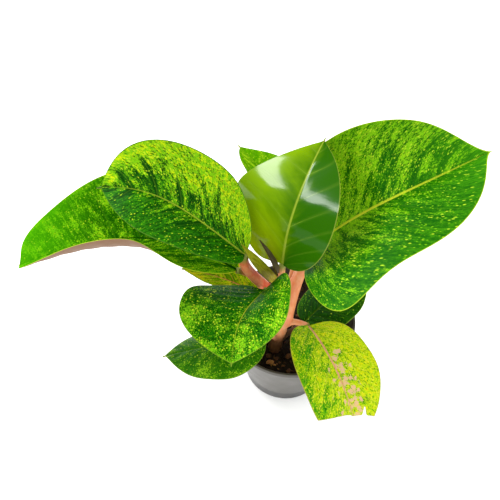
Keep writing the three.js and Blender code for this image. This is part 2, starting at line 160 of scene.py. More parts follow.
def write_points(mesh: bpy.types.Mesh, places: np.ndarray) -> None:
    """Moves all the vertices of a mesh to new places in metres."""
    mesh.vertices.foreach_set("co", places.astype(np.float32).ravel())
    mesh.update()


def write_marks(mesh: bpy.types.Mesh, name: str, values: np.ndarray) -> None:
    """Stores a number or a vector on each vertex, for the materials to read.

    Args:
        mesh: The mesh.
        name: What the materials read it as.
        values: One number, or one row of three, a vertex.
    """
    kind, part = ("FLOAT", "value") if values.ndim == 1 else ("FLOAT_VECTOR", "vector")
    layer = mesh.attributes.new(name, kind, "POINT")
    layer.data.foreach_set(part, values.astype(np.float32).ravel())


def face_outward(piece: bpy.types.Object) -> None:
    """Turns the faces of a closed piece to point out."""
    with editing(piece):
        bpy.ops.mesh.normals_make_consistent(inside=False)


def smooth_shade(piece: bpy.types.Object, angle_deg: float) -> None:
    """Shades a piece smooth, but for edges sharper than the angle."""
    pick(piece)
    bpy.ops.object.shade_smooth_by_angle(angle=math.radians(angle_deg))


def settle(piece: bpy.types.Object, node: str) -> bpy.types.Object:
    """Puts a finished piece in the place of its node on the one body.

    Args:
        piece: The finished piece.
        node: The frame's node that it replaces.

    Returns:
        The same piece.
    """
    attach(piece, BODY)
    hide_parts(node)
    log.info("%s: %d faces", piece.name, len(piece.data.polygons))
    return piece


def turned(name: str, profile: list[tuple[float, float]], sides: int) -> bpy.types.Object:
    """Draws a disc up through a profile, ring by ring, to a closed round piece.

    Args:
        name: The piece's name.
        profile: Radius and height pairs, from the middle of the base to the last ring.
        sides: How many sides the rings have.

    Returns:
        The piece, closed by a flat disc at both ends.
    """
    radius, height = profile[0]
    bpy.ops.mesh.primitive_circle_add(
        vertices=sides, radius=radius * MM, fill_type="NGON", location=(0, 0, height * MM)
    )
    piece = bpy.context.object
    piece.name = name
    bpy.ops.object.transform_apply(location=True, rotation=False, scale=False)
    with editing(piece):
        for next_radius, next_height in profile[1:]:
            rise = (0, 0, (next_height - height) * MM)
            bpy.ops.mesh.extrude_region_move(TRANSFORM_OT_translate={"value": rise})
            share = next_radius / radius
            bpy.ops.transform.resize(
                value=(share, share, 1), center_override=(0, 0, next_height * MM)
            )
            radius, height = next_radius, next_height
    face_outward(piece)
    return piece


class Wiring:
    """Places and joins the shader nodes of one material."""

    def __init__(self, name: str) -> None:
        """Starts a material with one plain shader.

        Args:
            name: The material's name.
        """
        self.material = bpy.data.materials.new(name)
        self.material.use_nodes = True
        self.tree = self.material.node_tree
        self.shader = self.tree.nodes["Principled BSDF"]

    def node(self, kind: str, **settings: object) -> bpy.types.Node:
        """Adds a node.

        Args:
            kind: The kind of node.
            **settings: Its options.

        Returns:
            The node.
        """
        made = self.tree.nodes.new(kind)
        for option, value in settings.items():
            setattr(made, option, value)
        return made

    def feed(self, socket: bpy.types.NodeSocket, value: Value | Colour) -> None:
        """Joins a socket to another, or sets it to a number or colour.

        Args:
            socket: The input.
            value: What it takes.
        """
        if isinstance(value, bpy.types.NodeSocket):
            self.tree.links.new(value, socket)
        elif isinstance(value, tuple) and socket.type == "RGBA":
            socket.default_value = (*value, 1)
        else:
            socket.default_value = value

    def named(self, name: str) -> bpy.types.NodeSocket:
        """Gives the vector stored on the vertices under a name."""
        return self.node("ShaderNodeAttribute", attribute_name=name).outputs["Vector"]

    def number(self, name: str) -> bpy.types.NodeSocket:
        """Gives the number stored on the vertices under a name."""
        return self.node("ShaderNodeAttribute", attribute_name=name).outputs["Fac"]

    def place(self) -> bpy.types.NodeSocket:
        """Gives the place on the piece, in metres."""
        return self.node("ShaderNodeTexCoord").outputs["Object"]

    def split(self, vector: bpy.types.NodeSocket) -> list[bpy.types.NodeSocket]:
        """Takes a vector apart.

        Args:
            vector: The vector.

        Returns:
            Its three numbers.
        """
        made = self.node("ShaderNodeSeparateXYZ")
        self.feed(made.inputs[0], vector)
        return list(made.outputs)

    def join(self, x: Value, y: Value, z: Value) -> bpy.types.NodeSocket:
        """Puts a vector together.

        Args:
            x: Its first number.
            y: Its second number.
            z: Its third number.

        Returns:
            The vector.
        """
        made = self.node("ShaderNodeCombineXYZ")
        for socket, value in zip(made.inputs, (x, y, z), strict=True):
            self.feed(socket, value)
        return made.outputs[0]

    def math(self, operation: str, first: Value, second: Value = 0.0) -> bpy.types.NodeSocket:
        """Works out a sum on two numbers.

        Args:
            operation: The kind of sum.
            first: The first number.
            second: The second number, if it takes one.

        Returns:
            The result.
        """
        made = self.node("ShaderNodeMath", operation=operation)
        self.feed(made.inputs[0], first)
        self.feed(made.inputs[1], second)
        return made.outputs[0]

    def times(self, first: Value, second: Value) -> bpy.types.NodeSocket:
        """Gives two numbers multiplied."""
        return self.math("MULTIPLY", first, second)

    def plus(self, first: Value, second: Value) -> bpy.types.NodeSocket:
        """Gives two numbers added."""
        return self.math("ADD", first, second)

    def minus(self, first: Value, second: Value) -> bpy.types.NodeSocket:
        """Gives the first number less the second."""
        return self.math("SUBTRACT", first, second)

    def step(self, value: Value, low: Value, high: Value) -> bpy.types.NodeSocket:
        """Gives a smooth rise, or a fall where low is the larger.

        Args:
            value: The number to grade.
            low: Where it gives 0.
            high: Where it gives 1.

        Returns:
            The graded number.
        """
        made = self.node("ShaderNodeMapRange", interpolation_type="SMOOTHSTEP")
        for socket, given in zip(made.inputs, (value, low, high), strict=False):
            self.feed(socket, given)
        return made.outputs[0]

    def mix(self, share: Value, first: Value | Colour, second: Value | Colour) -> bpy.types.NodeSocket:
        """Turns one colour into another.

        Args:
            share: How far, from 0 to 1.
            first: The first colour.
            second: The second colour.

        Returns:
            The colour between them.
        """
        made = self.node("ShaderNodeMix", data_type="RGBA")
        self.feed(made.inputs["Factor"], share)
        self.feed(made.inputs[6], first)
        self.feed(made.inputs[7], second)
        return made.outputs[2]

    def noise(
        self, vector: bpy.types.NodeSocket, scale: float, detail: float = 2.0, rough: float = 0.5
    ) -> bpy.types.NodeSocket:
        """Gives a cloudy pattern.

        Args:
            vector: Where the pattern is read.
            scale: How many clouds a unit holds.
            detail: How many finer layers it has.
            rough: How strong the finer layers are.

        Returns:
            A number around 0.5.
        """
        made = self.node("ShaderNodeTexNoise")
        self.feed(made.inputs["Vector"], vector)
        made.inputs["Scale"].default_value = scale
        made.inputs["Detail"].default_value = detail
        made.inputs["Roughness"].default_value = rough
        return made.outputs["Fac"]

    def cells(
        self, vector: bpy.types.NodeSocket, scale: float
    ) -> tuple[bpy.types.NodeSocket, bpy.types.NodeSocket]:
        """Gives a pattern of scattered points.

        Args:
            vector: Where the pattern is read.
            scale: How many points a unit holds.

        Returns:
            The distance to the nearest point, and that point's own random number.
        """
        made = self.node("ShaderNodeTexVoronoi")
        self.feed(made.inputs["Vector"], vector)
        made.inputs["Scale"].default_value = scale
        return made.outputs["Distance"], self.split(made.outputs["Color"])[0]

    def bump(self, height: Value, depth: float, strength: float = 1.0) -> None:
        """Gives the shader a relief.

        Args:
            height: The relief's height, from 0 to 1.
            depth: How deep that is, in metres.
            strength: How much of it shows.
        """
        made = self.node("ShaderNodeBump")
        self.feed(made.inputs["Height"], height)
        made.inputs["Distance"].default_value = depth
        made.inputs["Strength"].default_value = strength
        self.feed(self.shader.inputs["Normal"], made.outputs["Normal"])

    def set(self, **values: Value | Colour) -> None:
        """Sets or feeds inputs of the shader, with _ for a space in their names."""
        for name, value in values.items():
            self.feed(self.shader.inputs[name.replace("_", " ")], value)


@dataclass(frozen=True)
class Finish:
    """A surface finish, made as shader nodes."""

    name: str

    def material(self) -> bpy.types.Material:
        """Makes the finish's material.

        Returns:
            The material.
        """
        w = Wiring(self.name)
        self.paint(w)
        return w.material

    def paint(self, w: Wiring) -> None:
        """Wires up the shader, in each kind of finish's own way."""
        raise NotImplementedError


# The stored vectors that the blade finishes read.
BLADE_PLACE = "blade_place"
VEIN_PLACE = "vein_place"
BLADE_SHARE = "blade_share"

# How many clouds or spots of each pattern a millimetre of blade holds.
CLOUD_SCALE = 0.07
STREAK_SCALE = 0.22
VALLEY_SCALE = 0.1
TONE_SCALE = 0.45
GRAIN_SCALE = 1.1
BLOTCH_SCALE = 0.3
SPECK_SCALE = 0.9
DOT_SCALE = 0.6
PINK_SCALE = 0.21


class BladeMap:
    """Where a point lies on its blade, as sockets that the finishes read."""

    def __init__(self, w: Wiring) -> None:
        """Reads the stored vectors.

        Args:
            w: The material's wiring.
        """
        self.along, self.across, self.edge = w.split(w.named(BLADE_PLACE))
        self.over_veins, _, self.vein_near = w.split(w.named(VEIN_PLACE))
        self.length, self.side, self.out = w.split(w.named(BLADE_SHARE))


@dataclass(frozen=True)
class BladeFinish(Finish):
    """A leaf's upper face: deep green, apple green mottling, specks, patches, veins and margin."""

    deep: Colour = seen(36, 98, 3)
    mid: Colour = seen(64, 130, 8)
    bright: Colour = seen(122, 184, 16)
    dot: Colour = seen(186, 222, 50)
    patch: Colour = seen(196, 222, 24)
    rib: Colour = seen(176, 192, 44)
    vein: Colour = seen(120, 176, 36)
    margin: Colour = seen(140, 176, 50)
    # Painted light: the glow of light through the blade, laid toward the tip and the rim.
    lit: Colour = seen(84, 190, 8)
    pink: Colour = seen(255, 204, 160)
    cover: float = 0.45
    cover_to_tip: float = 0.0
    cover_to_left: float = 0.0
    cover_to_margin: float = 0.15
    specks: float = 0.5
    dots: float = 0.2
    patches: float = 0.25
    pinks: float = 0.0
    streaks: float = 0.3
    flow: float = 0.4
    # Painted shade, in part: how far the valleys by the veins darken toward deep green, for their own
    # darker tone and for the shade that falls in them.
    valley: float = 0.4
    vein_shows: float = 0.25
    rib_shows: float = 1.0
    rib_width: float = 0.8
    lit_to_tip: float = 0.0
    lit_to_margin: float = 0.1
    stretch: float = 0.8
    shine: float = 0.42
    gloss: float = 0.03
    seed: float = 0.0

    def cover_field(self, w: Wiring, at: BladeMap, broad: Value, streak: Value) -> Value:
        """Gives how much of the face is mottled.

        Args:
            w: The material's wiring.
            at: The place on the blade.
            broad: A broad cloudy pattern.
            streak: How much more, or less, is mottled in a streak or a valley.

        Returns:
            The mottled share, from 0 to 1.
        """
        cover = w.plus(w.times(broad, 1.6), self.cover - 0.8)
        for share, gain in (
            (w.minus(at.length, 0.5), self.cover_to_tip),
            (at.side, self.cover_to_left),
            (w.math("POWER", at.out, 2.0), self.cover_to_margin),
        ):
            cover = w.plus(cover, w.times(share, gain))
        return w.step(w.plus(cover, streak), 0.0, 1.0)

    def scattered(self, w: Wiring, run: Value, scale: float, size: float, share: Value) -> Value:
        """Gives scattered small spots.

        Args:
            w: The material's wiring.
            run: Where the pattern is read.
            scale: How many spots a millimetre could hold.
            size: A spot's radius, as a share of their spacing.
            share: The share of the spots that show.

        Returns:
            1 on a spot and 0 off it.
        """
        distance, chance = w.cells(run, scale)
        shown = w.math("LESS_THAN", chance, share)
        return w.times(w.step(distance, size, size * 0.5), shown)

    def paint(self, w: Wiring) -> None:
        """Wires up the shader.

        Args:
            w: The material's wiring.
        """
        at = BladeMap(w)
        flowing = w.times(w.minus(at.over_veins, at.along), self.flow)
        run = w.join(w.plus(at.along, flowing), w.times(at.across, self.stretch), self.seed * 7)
        drawn = w.join(at.over_veins, w.times(at.across, 0.3), self.seed * 3)
        streak = w.minus(w.step(w.noise(drawn, STREAK_SCALE, detail=5.0, rough=0.7), 0.36, 0.64), 0.5)
        streak = w.times(streak, self.streaks)
        # Painted shade, in part: the valleys by the veins, away from the margin, darken toward deep green
        # and keep less mottling. This is partly their own darker tone and partly the shade in them.
        valley_tone_and_shade = w.times(w.step(at.vein_near, 4.0, 0.5), w.step(at.out, 1.0, 0.3))
        valley_tone_and_shade = w.times(valley_tone_and_shade, w.step(w.noise(drawn, VALLEY_SCALE, 2.0), 0.35, 0.6))
        valley_tone_and_shade = w.times(valley_tone_and_shade, self.valley)
        held_back = w.minus(streak, w.times(valley_tone_and_shade, 0.7))
        cover = self.cover_field(w, at, w.noise(run, CLOUD_SCALE, detail=3.0, rough=0.6), held_back)
        tone = w.plus(w.noise(run, TONE_SCALE, detail=6.0, rough=0.85), w.times(streak, 0.3))
        colour = w.mix(w.step(tone, 0.38, 0.62), self.deep, self.mid)
        colour = w.mix(valley_tone_and_shade, colour, self.deep)
        grain = w.noise(run, GRAIN_SCALE, detail=4.0, rough=0.8)
        colour = self.with_spots(w, at, colour, run, [grain, cover])
        if self.pinks > 0:
            colour = self.with_pink(w, at, colour)
        colour = self.with_lines(w, at, colour)
        w.set(Base_Color=colour, Specular_IOR_Level=self.gloss)
        w.set(Roughness=w.plus(w.times(grain, 0.12), self.shine - 0.06))
        relief = w.minus(w.times(grain, 0.5), w.step(at.vein_near, 0.5, 0.0))
        w.bump(relief, depth=0.0002, strength=0.6)

    def with_spots(self, w: Wiring, at: BladeMap, colour: Value, run: Value, fields: list[Value]) -> Value:
        """Lays the mottling, the patches and the small spots.

        Args:
            w: The material's wiring.
            at: The place on the blade.
            colour: The colour so far.
            run: Where the patterns are read.
            fields: The fine grain and the mottled share.

        Returns:
            The colour with its spots.
        """
        grain, cover = fields
        limit = w.minus(0.66, w.times(cover, 0.24))
        mottle = w.step(grain, limit, w.plus(limit, 0.04))
        colour = w.mix(w.times(mottle, 0.9), colour, self.bright)
        blotch = w.noise(run, BLOTCH_SCALE, detail=6.0, rough=0.9)
        limit = w.minus(0.84 - 0.25 * self.patches, w.times(cover, 0.2))
        patch = w.step(blotch, limit, w.plus(limit, 0.03))
        colour = w.mix(w.times(patch, 0.9), colour, self.patch)
        dense = w.plus(w.times(cover, 0.8), 0.2)
        speck = self.scattered(w, run, SPECK_SCALE, 0.5, w.times(dense, self.specks))
        colour = w.mix(w.times(speck, 0.85), colour, self.bright)
        dot = self.scattered(w, run, DOT_SCALE, 0.45, w.times(dense, self.dots))
        colour = w.mix(w.times(dot, 0.95), colour, self.dot)
        hole = self.scattered(w, w.join(at.across, at.over_veins, self.seed), DOT_SCALE, 0.55, 0.45)
        return w.mix(w.times(hole, 0.75), colour, self.deep)

    def with_pink(self, w: Wiring, at: BladeMap, colour: Value) -> Value:
        """Lays small pink patches near the midrib, most of them left of it.

        Args:
            w: The material's wiring.
            at: The place on the blade.
            colour: The colour so far.

        Returns:
            The colour with its patches.
        """
        run = w.join(at.along, at.across, self.seed)
        distance, chance = w.cells(run, PINK_SCALE)
        ragged = w.minus(w.noise(run, 0.8, detail=3.0, rough=0.7), 0.5)
        distance = w.plus(distance, w.times(ragged, 1.6))
        near_rib = w.step(w.math("ABSOLUTE", at.across), 17.0, 4.0)
        left = w.plus(w.times(w.step(at.side, -0.05, 0.05), 0.6), 0.3)
        share = w.times(w.times(near_rib, left), w.step(at.length, 0.2, 0.45))
        shown = w.math("LESS_THAN", chance, w.times(share, self.pinks))
        pink = w.times(w.step(distance, 0.5, 0.42), shown)
        return w.mix(w.times(pink, 0.9), colour, self.pink)

    def with_lines(self, w: Wiring, at: BladeMap, colour: Value) -> Value:
        """Lays the light at the tip and rim, the veins, the midrib and the margin.

        Args:
            w: The material's wiring.
            at: The place on the blade.
            colour: The colour so far.

        Returns:
            The colour with its lines.
        """
        # Painted light: the tip and the rim turn toward the lit green, as light glows through the blade.
        lit = w.times(w.step(at.length, 0.55, 1.0), self.lit_to_tip)
        rim_lit = w.times(w.math("POWER", at.out, 6.0), self.lit_to_margin)
        colour = w.mix(w.plus(lit, rim_lit), colour, self.lit)
        veins = w.times(w.step(at.vein_near, 0.9, 0.1), self.vein_shows)
        colour = w.mix(veins, colour, self.vein)
        half_rib = w.times(w.minus(1.15, at.length), self.rib_width)
        from_rib = w.math("ABSOLUTE", at.across)
        rib = w.step(from_rib, w.plus(half_rib, 0.3), w.times(half_rib, 0.4))
        fading = w.times(w.step(at.length, 1.3, 0.3), self.rib_shows)
        colour = w.mix(w.times(rib, fading), colour, self.rib)
        return w.mix(w.step(at.edge, 0.75, 0.25), colour, self.margin)


@dataclass(frozen=True)
class YoungFinish(Finish):
    """The newest leaf's upper face: glossy and plain, yellow green and painted lighter to the left, with
    light veins.
    """

    # Painted light: the left half is its own yellow green and is also painted lighter, and the right half
    # darker, as light falls from the left.
    right: Colour = seen(48, 108, 3)
    left: Colour = seen(134, 178, 4)
    base: Colour = seen(194, 218, 12)
    rib: Colour = seen(176, 196, 60)
    vein: Colour = seen(140, 180, 50)
    margin: Colour = seen(150, 170, 60)

    def paint(self, w: Wiring) -> None:
        """Wires up the shader.

        Args:
            w: The material's wiring.
        """
        at = BladeMap(w)
        run = w.join(at.over_veins, w.times(at.across, 0.5), 5.0)
        cloud = w.noise(run, 0.12, detail=3.0, rough=0.55)
        drift = w.plus(at.side, w.times(w.minus(cloud, 0.5), 0.8))
        colour = w.mix(w.step(drift, -0.35, 0.75), self.right, self.left)
        # Painted light: the lower left is lightened further, to lift it out of the shade that falls there.
        low = w.times(w.step(at.length, 0.5, 0.05), w.step(at.side, -0.2, 0.4))
        colour = w.mix(w.times(low, 0.55), colour, self.base)
        halo = w.times(w.step(at.vein_near, 3.0, 0.0), 0.12)
        fade = w.times(w.step(at.out, 0.85, 0.1), w.step(w.noise(run, 0.2, 2.0), 0.3, 0.6))
        line = w.times(w.step(at.vein_near, 0.7, 0.1), fade)
        veins = w.plus(halo, w.times(line, 0.5))
        colour = w.mix(veins, colour, self.vein)
        half_rib = w.times(w.minus(1.2, at.length), 1.0)
        from_rib = w.math("ABSOLUTE", at.across)
        rib = w.step(from_rib, w.plus(half_rib, 0.6), w.times(half_rib, 0.3))
        colour = w.mix(w.times(rib, 0.75), colour, self.rib)
        colour = w.mix(w.step(at.edge, 0.7, 0.25), colour, self.margin)
        w.set(Base_Color=colour, Specular_IOR_Level=0.0, Roughness=0.4)
        upper = w.plus(w.times(w.step(at.length, 0.35, 0.55), 0.8), 0.2)
        w.set(Coat_Weight=upper, Coat_Roughness=0.12, Coat_IOR=1.45)
        fibre = w.noise(w.join(at.over_veins, w.times(at.across, 0.3), 0.0), 0.6, 2.0, 0.6)
        relief = w.minus(w.times(fibre, 0.6), w.step(at.vein_near, 0.9, 0.0))
        w.bump(relief, depth=0.0003, strength=0.6)


@dataclass(frozen=True)
class UndersideFinish(Finish):
    """A leaf's lower face: paler, matt, with a pink flush by the midrib."""

    green: Colour = seen(112, 156, 54)
    pale: Colour = seen(150, 186, 80)
    flush: Colour = seen(150, 102, 56)
    rib: Colour = seen(206, 146, 110)
    flushed: float = 0.35

    def paint(self, w: Wiring) -> None:
        """Wires up the shader.

        Args:
            w: The material's wiring.
        """
        at = BladeMap(w)
        run = w.join(at.over_veins, w.times(at.across, 0.6), 3.0)
        cloud = w.noise(run, 0.09, detail=3.0, rough=0.6)
        nearer = w.minus(cloud, w.times(at.out, 0.3))
        pink = w.step(nearer, 0.7 - self.flushed, 0.95 - self.flushed)
        shows_through = w.times(w.step(w.noise(run, 0.5, detail=5.0, rough=0.8), 0.45, 0.62), 0.6)
        colour = w.mix(shows_through, self.green, self.pale)
        colour = w.mix(pink, colour, self.flush)
        colour = w.mix(w.times(w.step(at.vein_near, 0.4, 0.0), 0.4), colour, self.rib)
        colour = w.mix(w.step(w.math("ABSOLUTE", at.across), 2.2, 0.8), colour, self.rib)
        w.set(Base_Color=colour, Specular_IOR_Level=0.25)
        w.set(Roughness=w.plus(w.times(cloud, 0.15), 0.5))
        w.bump(w.noise(run, 1.4, detail=3.0, rough=0.7), depth=0.00015, strength=0.5)


@dataclass(frozen=True)
class Cut:
    """The end of a blade that was cut short, with a notch in it."""

    at: float
    slope: float
    notch_at: float
    notch_spread: float
    notch_depth: float


@dataclass
class Blade:
    """A leaf blade laid out on its arching midrib. Left and right are as seen from the stalk.

    Lengths are in millimetres and angles in degrees. The shares are of the blade's length, or of
    its half width, and side is a share of the half width that is negative on the right.
    """

    name: str
    base: Place
    slot: Slot
    finish: Finish
    underside: Finish = UndersideFinish("underside_pale")
    heading: float = 0.0
    turn: float = 0.0
    rise: float = 20.0
    bend: float = -40.0
    bend_start: float = 1.0
    length: float = 100.0
    width: float = 40.0
    right_share: float = 1.0
    roll: float = 0.0
    twist: float = 0.0
    fold_left: float = 10.0
    fold_right: float = 10.0
    curl_left: float = 0.0
    curl_right: float = 0.0
    curl_rise_left: float = 0.0
    peak: float = 0.42
    blunt_base: float = 0.6
    blunt_tip: float = 1.0
    cusp: float = 0.96
    lobe_left: float = 0.04
    lobe_right: float = 0.04
    bulge_right: float = 0.0
    sweep: float = 0.06
    wave: float = 0.8
    waves: float = 2.3
    wave_phase: float = 0.0
    cut: Cut | None = None
    veins: float = 9.0
    vein_lean: float = 0.3
    vein_curve: float = 1.1
    quilt: float = 0.5
    rows: int = 150
    columns: int = 96
    quick_share: float = 0.4
    midrib_steps: int = 48

    thickness: float = 0.6
    margin_thickness: float = 0.35
    rib_depth: float = 1.4
    rib_spread: float = 1.6
    groove: float = 0.35
    groove_spread: float = 0.9
    neck: float = 2.2
    neck_taper: float = 1.7
    shoulder_at: float = 0.2
    shoulder_spread: float = 0.13
    lobe_reach: float = 0.13
    shape_power: float = 1.4
    right_lag: float = 1.3

    def __post_init__(self) -> None:
        """Lays out the midrib."""
        share = np.linspace(0, 1, self.midrib_steps + 1)
        self.directions = self.direction(share)
        moves = (self.directions[1:] + self.directions[:-1]) / 2 * (self.length / self.midrib_steps)
        self.places = np.vstack([np.zeros(3), np.cumsum(moves, 0)]) + np.array(self.base)

    def bearing(self, share: np.ndarray) -> np.ndarray:
        """Gives the midrib's compass bearing, in radians from +X, at shares of its length."""
        return np.radians(self.heading + self.turn * eased(share**self.bend_start))

    def direction(self, share: np.ndarray) -> np.ndarray:
        """Gives the way that the midrib points.

        Args:
            share: Shares of its length.

        Returns:
            One unit vector a row.
        """
        up = np.radians(self.rise + self.bend * eased(share**self.bend_start))
        round_z = self.bearing(share)
        flat = np.cos(up)
        return np.stack([flat * np.cos(round_z), flat * np.sin(round_z), np.sin(up)], -1)

    def half_width(self, length: np.ndarray, side: np.ndarray) -> np.ndarray:
        """Gives the half width of the outline.

        Args:
            length: Shares of the blade's length.
            side: Shares of the half width.

        Returns:
            Half widths.
        """
        skew = math.log(0.5) / math.log(self.peak)
        blunt = self.blunt_base + (self.blunt_tip - self.blunt_base) * length**2
        arch = np.sin(np.pi * np.clip(length / self.cusp, 0, 1) ** skew)
        swell = np.clip(arch, 0, 1) ** blunt
        shoulder = np.exp(-(((length - self.shoulder_at) / self.shoulder_spread) ** 2))
        shoulder = shoulder * np.clip(length / 0.05, 0, 1)
        share = np.where(side < 0, self.right_share, 1.0)
        extra = np.where(side < 0, self.bulge_right, 0.0)
        neck = self.neck - self.neck_taper * length
        neck = neck * (1 - 0.7 * smooth(0.97, 1.0, length))
        return neck + share * self.width * (swell + extra * shoulder)

    def lead(self, length: np.ndarray, side: np.ndarray) -> np.ndarray:
        """Gives how far the outline runs ahead of the midrib point, or behind it in the lobes.

        Args:
            length: Shares of the blade's length.
            side: Shares of the half width.

        Returns:
            Distances, less than 0 behind it.
        """
        lobe = np.where(side < 0, self.lobe_right, self.lobe_left)
        forward = self.sweep * np.sin(np.pi * length) * length * 1.6
        reach = length / self.lobe_reach
        return self.length * (forward - lobe * reach * np.exp(1 - reach))

    def end(self, side: np.ndarray) -> np.ndarray:
        """Gives where the blade ends, which is short of the tip if it is cut.

        Args:
            side: Shares of the half width.

        Returns:
            Shares of the blade's length.
        """
        if self.cut is None:
            return np.ones_like(side)
        from_notch = (side - self.cut.notch_at) / self.cut.notch_spread
        notch = self.cut.notch_depth * np.exp(-(from_notch**2))
        return self.cut.at + np.minimum(0, side) * self.cut.slope - notch

    def surface(self, length: np.ndarray, side: np.ndarray) -> np.ndarray:
        """Gives places on the blade's middle surface.

        Args:
            length: Shares of the blade's length.
            side: Shares of the half width.

        Returns:
            One place a row.
        """
        steps = self.midrib_steps
        across = side * self.half_width(length, side)
        ahead = np.abs(side) ** self.shape_power * self.lead(length, side) / self.length
        share = np.clip(length + ahead, -1, 1.3)
        held = np.clip(share, 0, 1)
        slot = np.minimum((held * steps).astype(int), steps - 1)
        part = (held * steps - slot)[:, None]
        place = self.places[slot] * (1 - part) + self.places[slot + 1] * part
        along = self.directions[slot] * (1 - part) + self.directions[slot + 1] * part
        along /= np.linalg.norm(along, axis=1, keepdims=True)
        place = place + along * ((share - held) * self.length)[:, None]
        bearing = self.bearing(held)
        level = np.stack([-np.sin(bearing), np.cos(bearing), np.zeros_like(bearing)], -1)
        raised = np.cross(along, level)
        roll = np.radians(self.roll + self.twist * held)[:, None]
        sideways = level * np.cos(roll) + raised * np.sin(roll)
        upward = raised * np.cos(roll) - level * np.sin(roll)
        left = across >= 0
        fold = np.radians(np.where(left, self.fold_left, self.fold_right))
        late = np.ones_like(length)
        if self.curl_rise_left > 0:
            late = np.where(left, eased(np.clip(length / self.curl_rise_left, 0, 1)), late)
        curl = late * np.radians(np.where(left, self.curl_left, self.curl_right)) / self.width
        curl = np.where(np.abs(curl) < 1e-6, 1e-6, curl)
        reach = np.abs(across)
        out = (np.sin(fold + curl * reach) - np.sin(fold)) / curl
        lift = (np.cos(fold) - np.cos(fold + curl * reach)) / curl
        phase = TAU * self.waves * held + math.radians(self.wave_phase) + np.where(left, 0, self.right_lag)
        lift = lift + self.wave * (reach / self.width) ** 2 * np.sin(phase)
        return place + sideways * (np.sign(across) * out)[:, None] + upward * lift[:, None]

    def vein_count(self, length: np.ndarray, side: np.ndarray) -> np.ndarray:
        """Gives how many side veins lie between the base and a place on the blade."""
        lean = self.vein_lean * np.abs(side) ** self.vein_curve * (1.2 - length)
        return self.veins * (length - lean)

    def build(self) -> bpy.types.Object:
        """Makes the blade: a sheet laid on the midrib, given its thickness, rib and relief.

        Returns:
            The finished piece.
        """
        fine = 1.0
        bpy.ops.mesh.primitive_grid_add(
            x_subdivisions=int(self.columns * fine), y_subdivisions=int(self.rows * fine), size=2
        )
        piece = bpy.context.object
        piece.name = f"{self.name}_blade"
        mesh = piece.data
        flat = read_points(mesh)
        side = -np.sign(flat[:, 0]) * np.abs(flat[:, 0]) ** self.shape_power
        length = (flat[:, 1] + 1) / 2 * self.end(side)
        write_points(mesh, self.surface(length, side) * MM)
        count = self.vein_count(length, side)
        from_vein = np.abs((count + 0.5) % 1 - 0.5) * 2
        half = self.half_width(length, side)
        across = side * half
        inner = 1 - np.abs(side) ** 3
        puff = np.sin(np.pi * count) ** 2 * np.minimum(1, np.abs(side) / 0.2) * inner
        relief = self.quilt * (puff - 0.5 * inner)
        relief -= self.groove * np.exp(-((across / self.groove_spread) ** 2)) * (1 - 0.6 * length)
        normals = read_points(mesh, "normal")
        top = read_points(mesh) + normals * (relief * MM)[:, None]
        spare = self.thickness - self.margin_thickness
        layer = self.margin_thickness + spare * (1 - np.abs(side) ** 6)
        rib = self.rib_depth * np.exp(-((across / self.rib_spread) ** 2)) * (1 - 0.8 * length)
        mesh.materials.append(self.finish.material())
        mesh.materials.append(self.underside.material())
        self.thicken(piece, top, normals, layer + rib)
        margin_gap = half * (1 - np.abs(side))
        if self.cut is not None:
            margin_gap = np.minimum(margin_gap, (self.end(side) - length) * self.length)
        self.store(mesh, length, side, across, margin_gap, count, from_vein)
        face_outward(piece)
        smooth_shade(piece, angle_deg=60)
        return settle(piece, self.name)

    def thicken(
        self, piece: bpy.types.Object, top: np.ndarray, normals: np.ndarray, depth: np.ndarray
    ) -> None:
        """Gives a sheet its lower face.

        Args:
            piece: The sheet.
            top: Places of the upper face, in metres.
            normals: Which way the upper face looks.
            depth: The blade's thickness at each vertex, in millimetres.
        """
        pick(piece)
        wall = piece.modifiers.new("wall", "SOLIDIFY")
        wall.thickness = self.thickness * MM
        wall.material_offset = 1
        bpy.ops.object.modifier_apply(modifier=wall.name)
        upper = top + normals * (self.thickness / 2 * MM)
        lower = upper - normals * (depth * MM)[:, None]
        write_points(piece.data, np.concatenate([upper, lower]))

    def store(
        self,
        mesh: bpy.types.Mesh,
        length: np.ndarray,
        side: np.ndarray,
        across: np.ndarray,
        margin_gap: np.ndarray,
        count: np.ndarray,
        from_vein: np.ndarray,
    ) -> None:
        """Stores on both faces what the finish reads.

        Args:
            mesh: The blade's mesh, its lower vertices after its upper ones.
            length: Shares of the blade's length.
            side: Shares of the half width.
            across: Distances from the midrib, in millimetres.
            margin_gap: Distances from the margin, in millimetres.
            count: Side veins passed.
            from_vein: 0 on a side vein and 1 halfway between two.
        """
        spacing = self.length / self.veins
        vectors = {
            BLADE_PLACE: (length * self.length, across, margin_gap),
            VEIN_PLACE: (count * spacing, np.abs(across), from_vein * spacing / 2),
            BLADE_SHARE: (length, side, np.abs(side)),
        }
        for name, parts in vectors.items():
            rows = np.stack(parts, -1)
            write_marks(mesh, name, np.concatenate([rows, rows]))


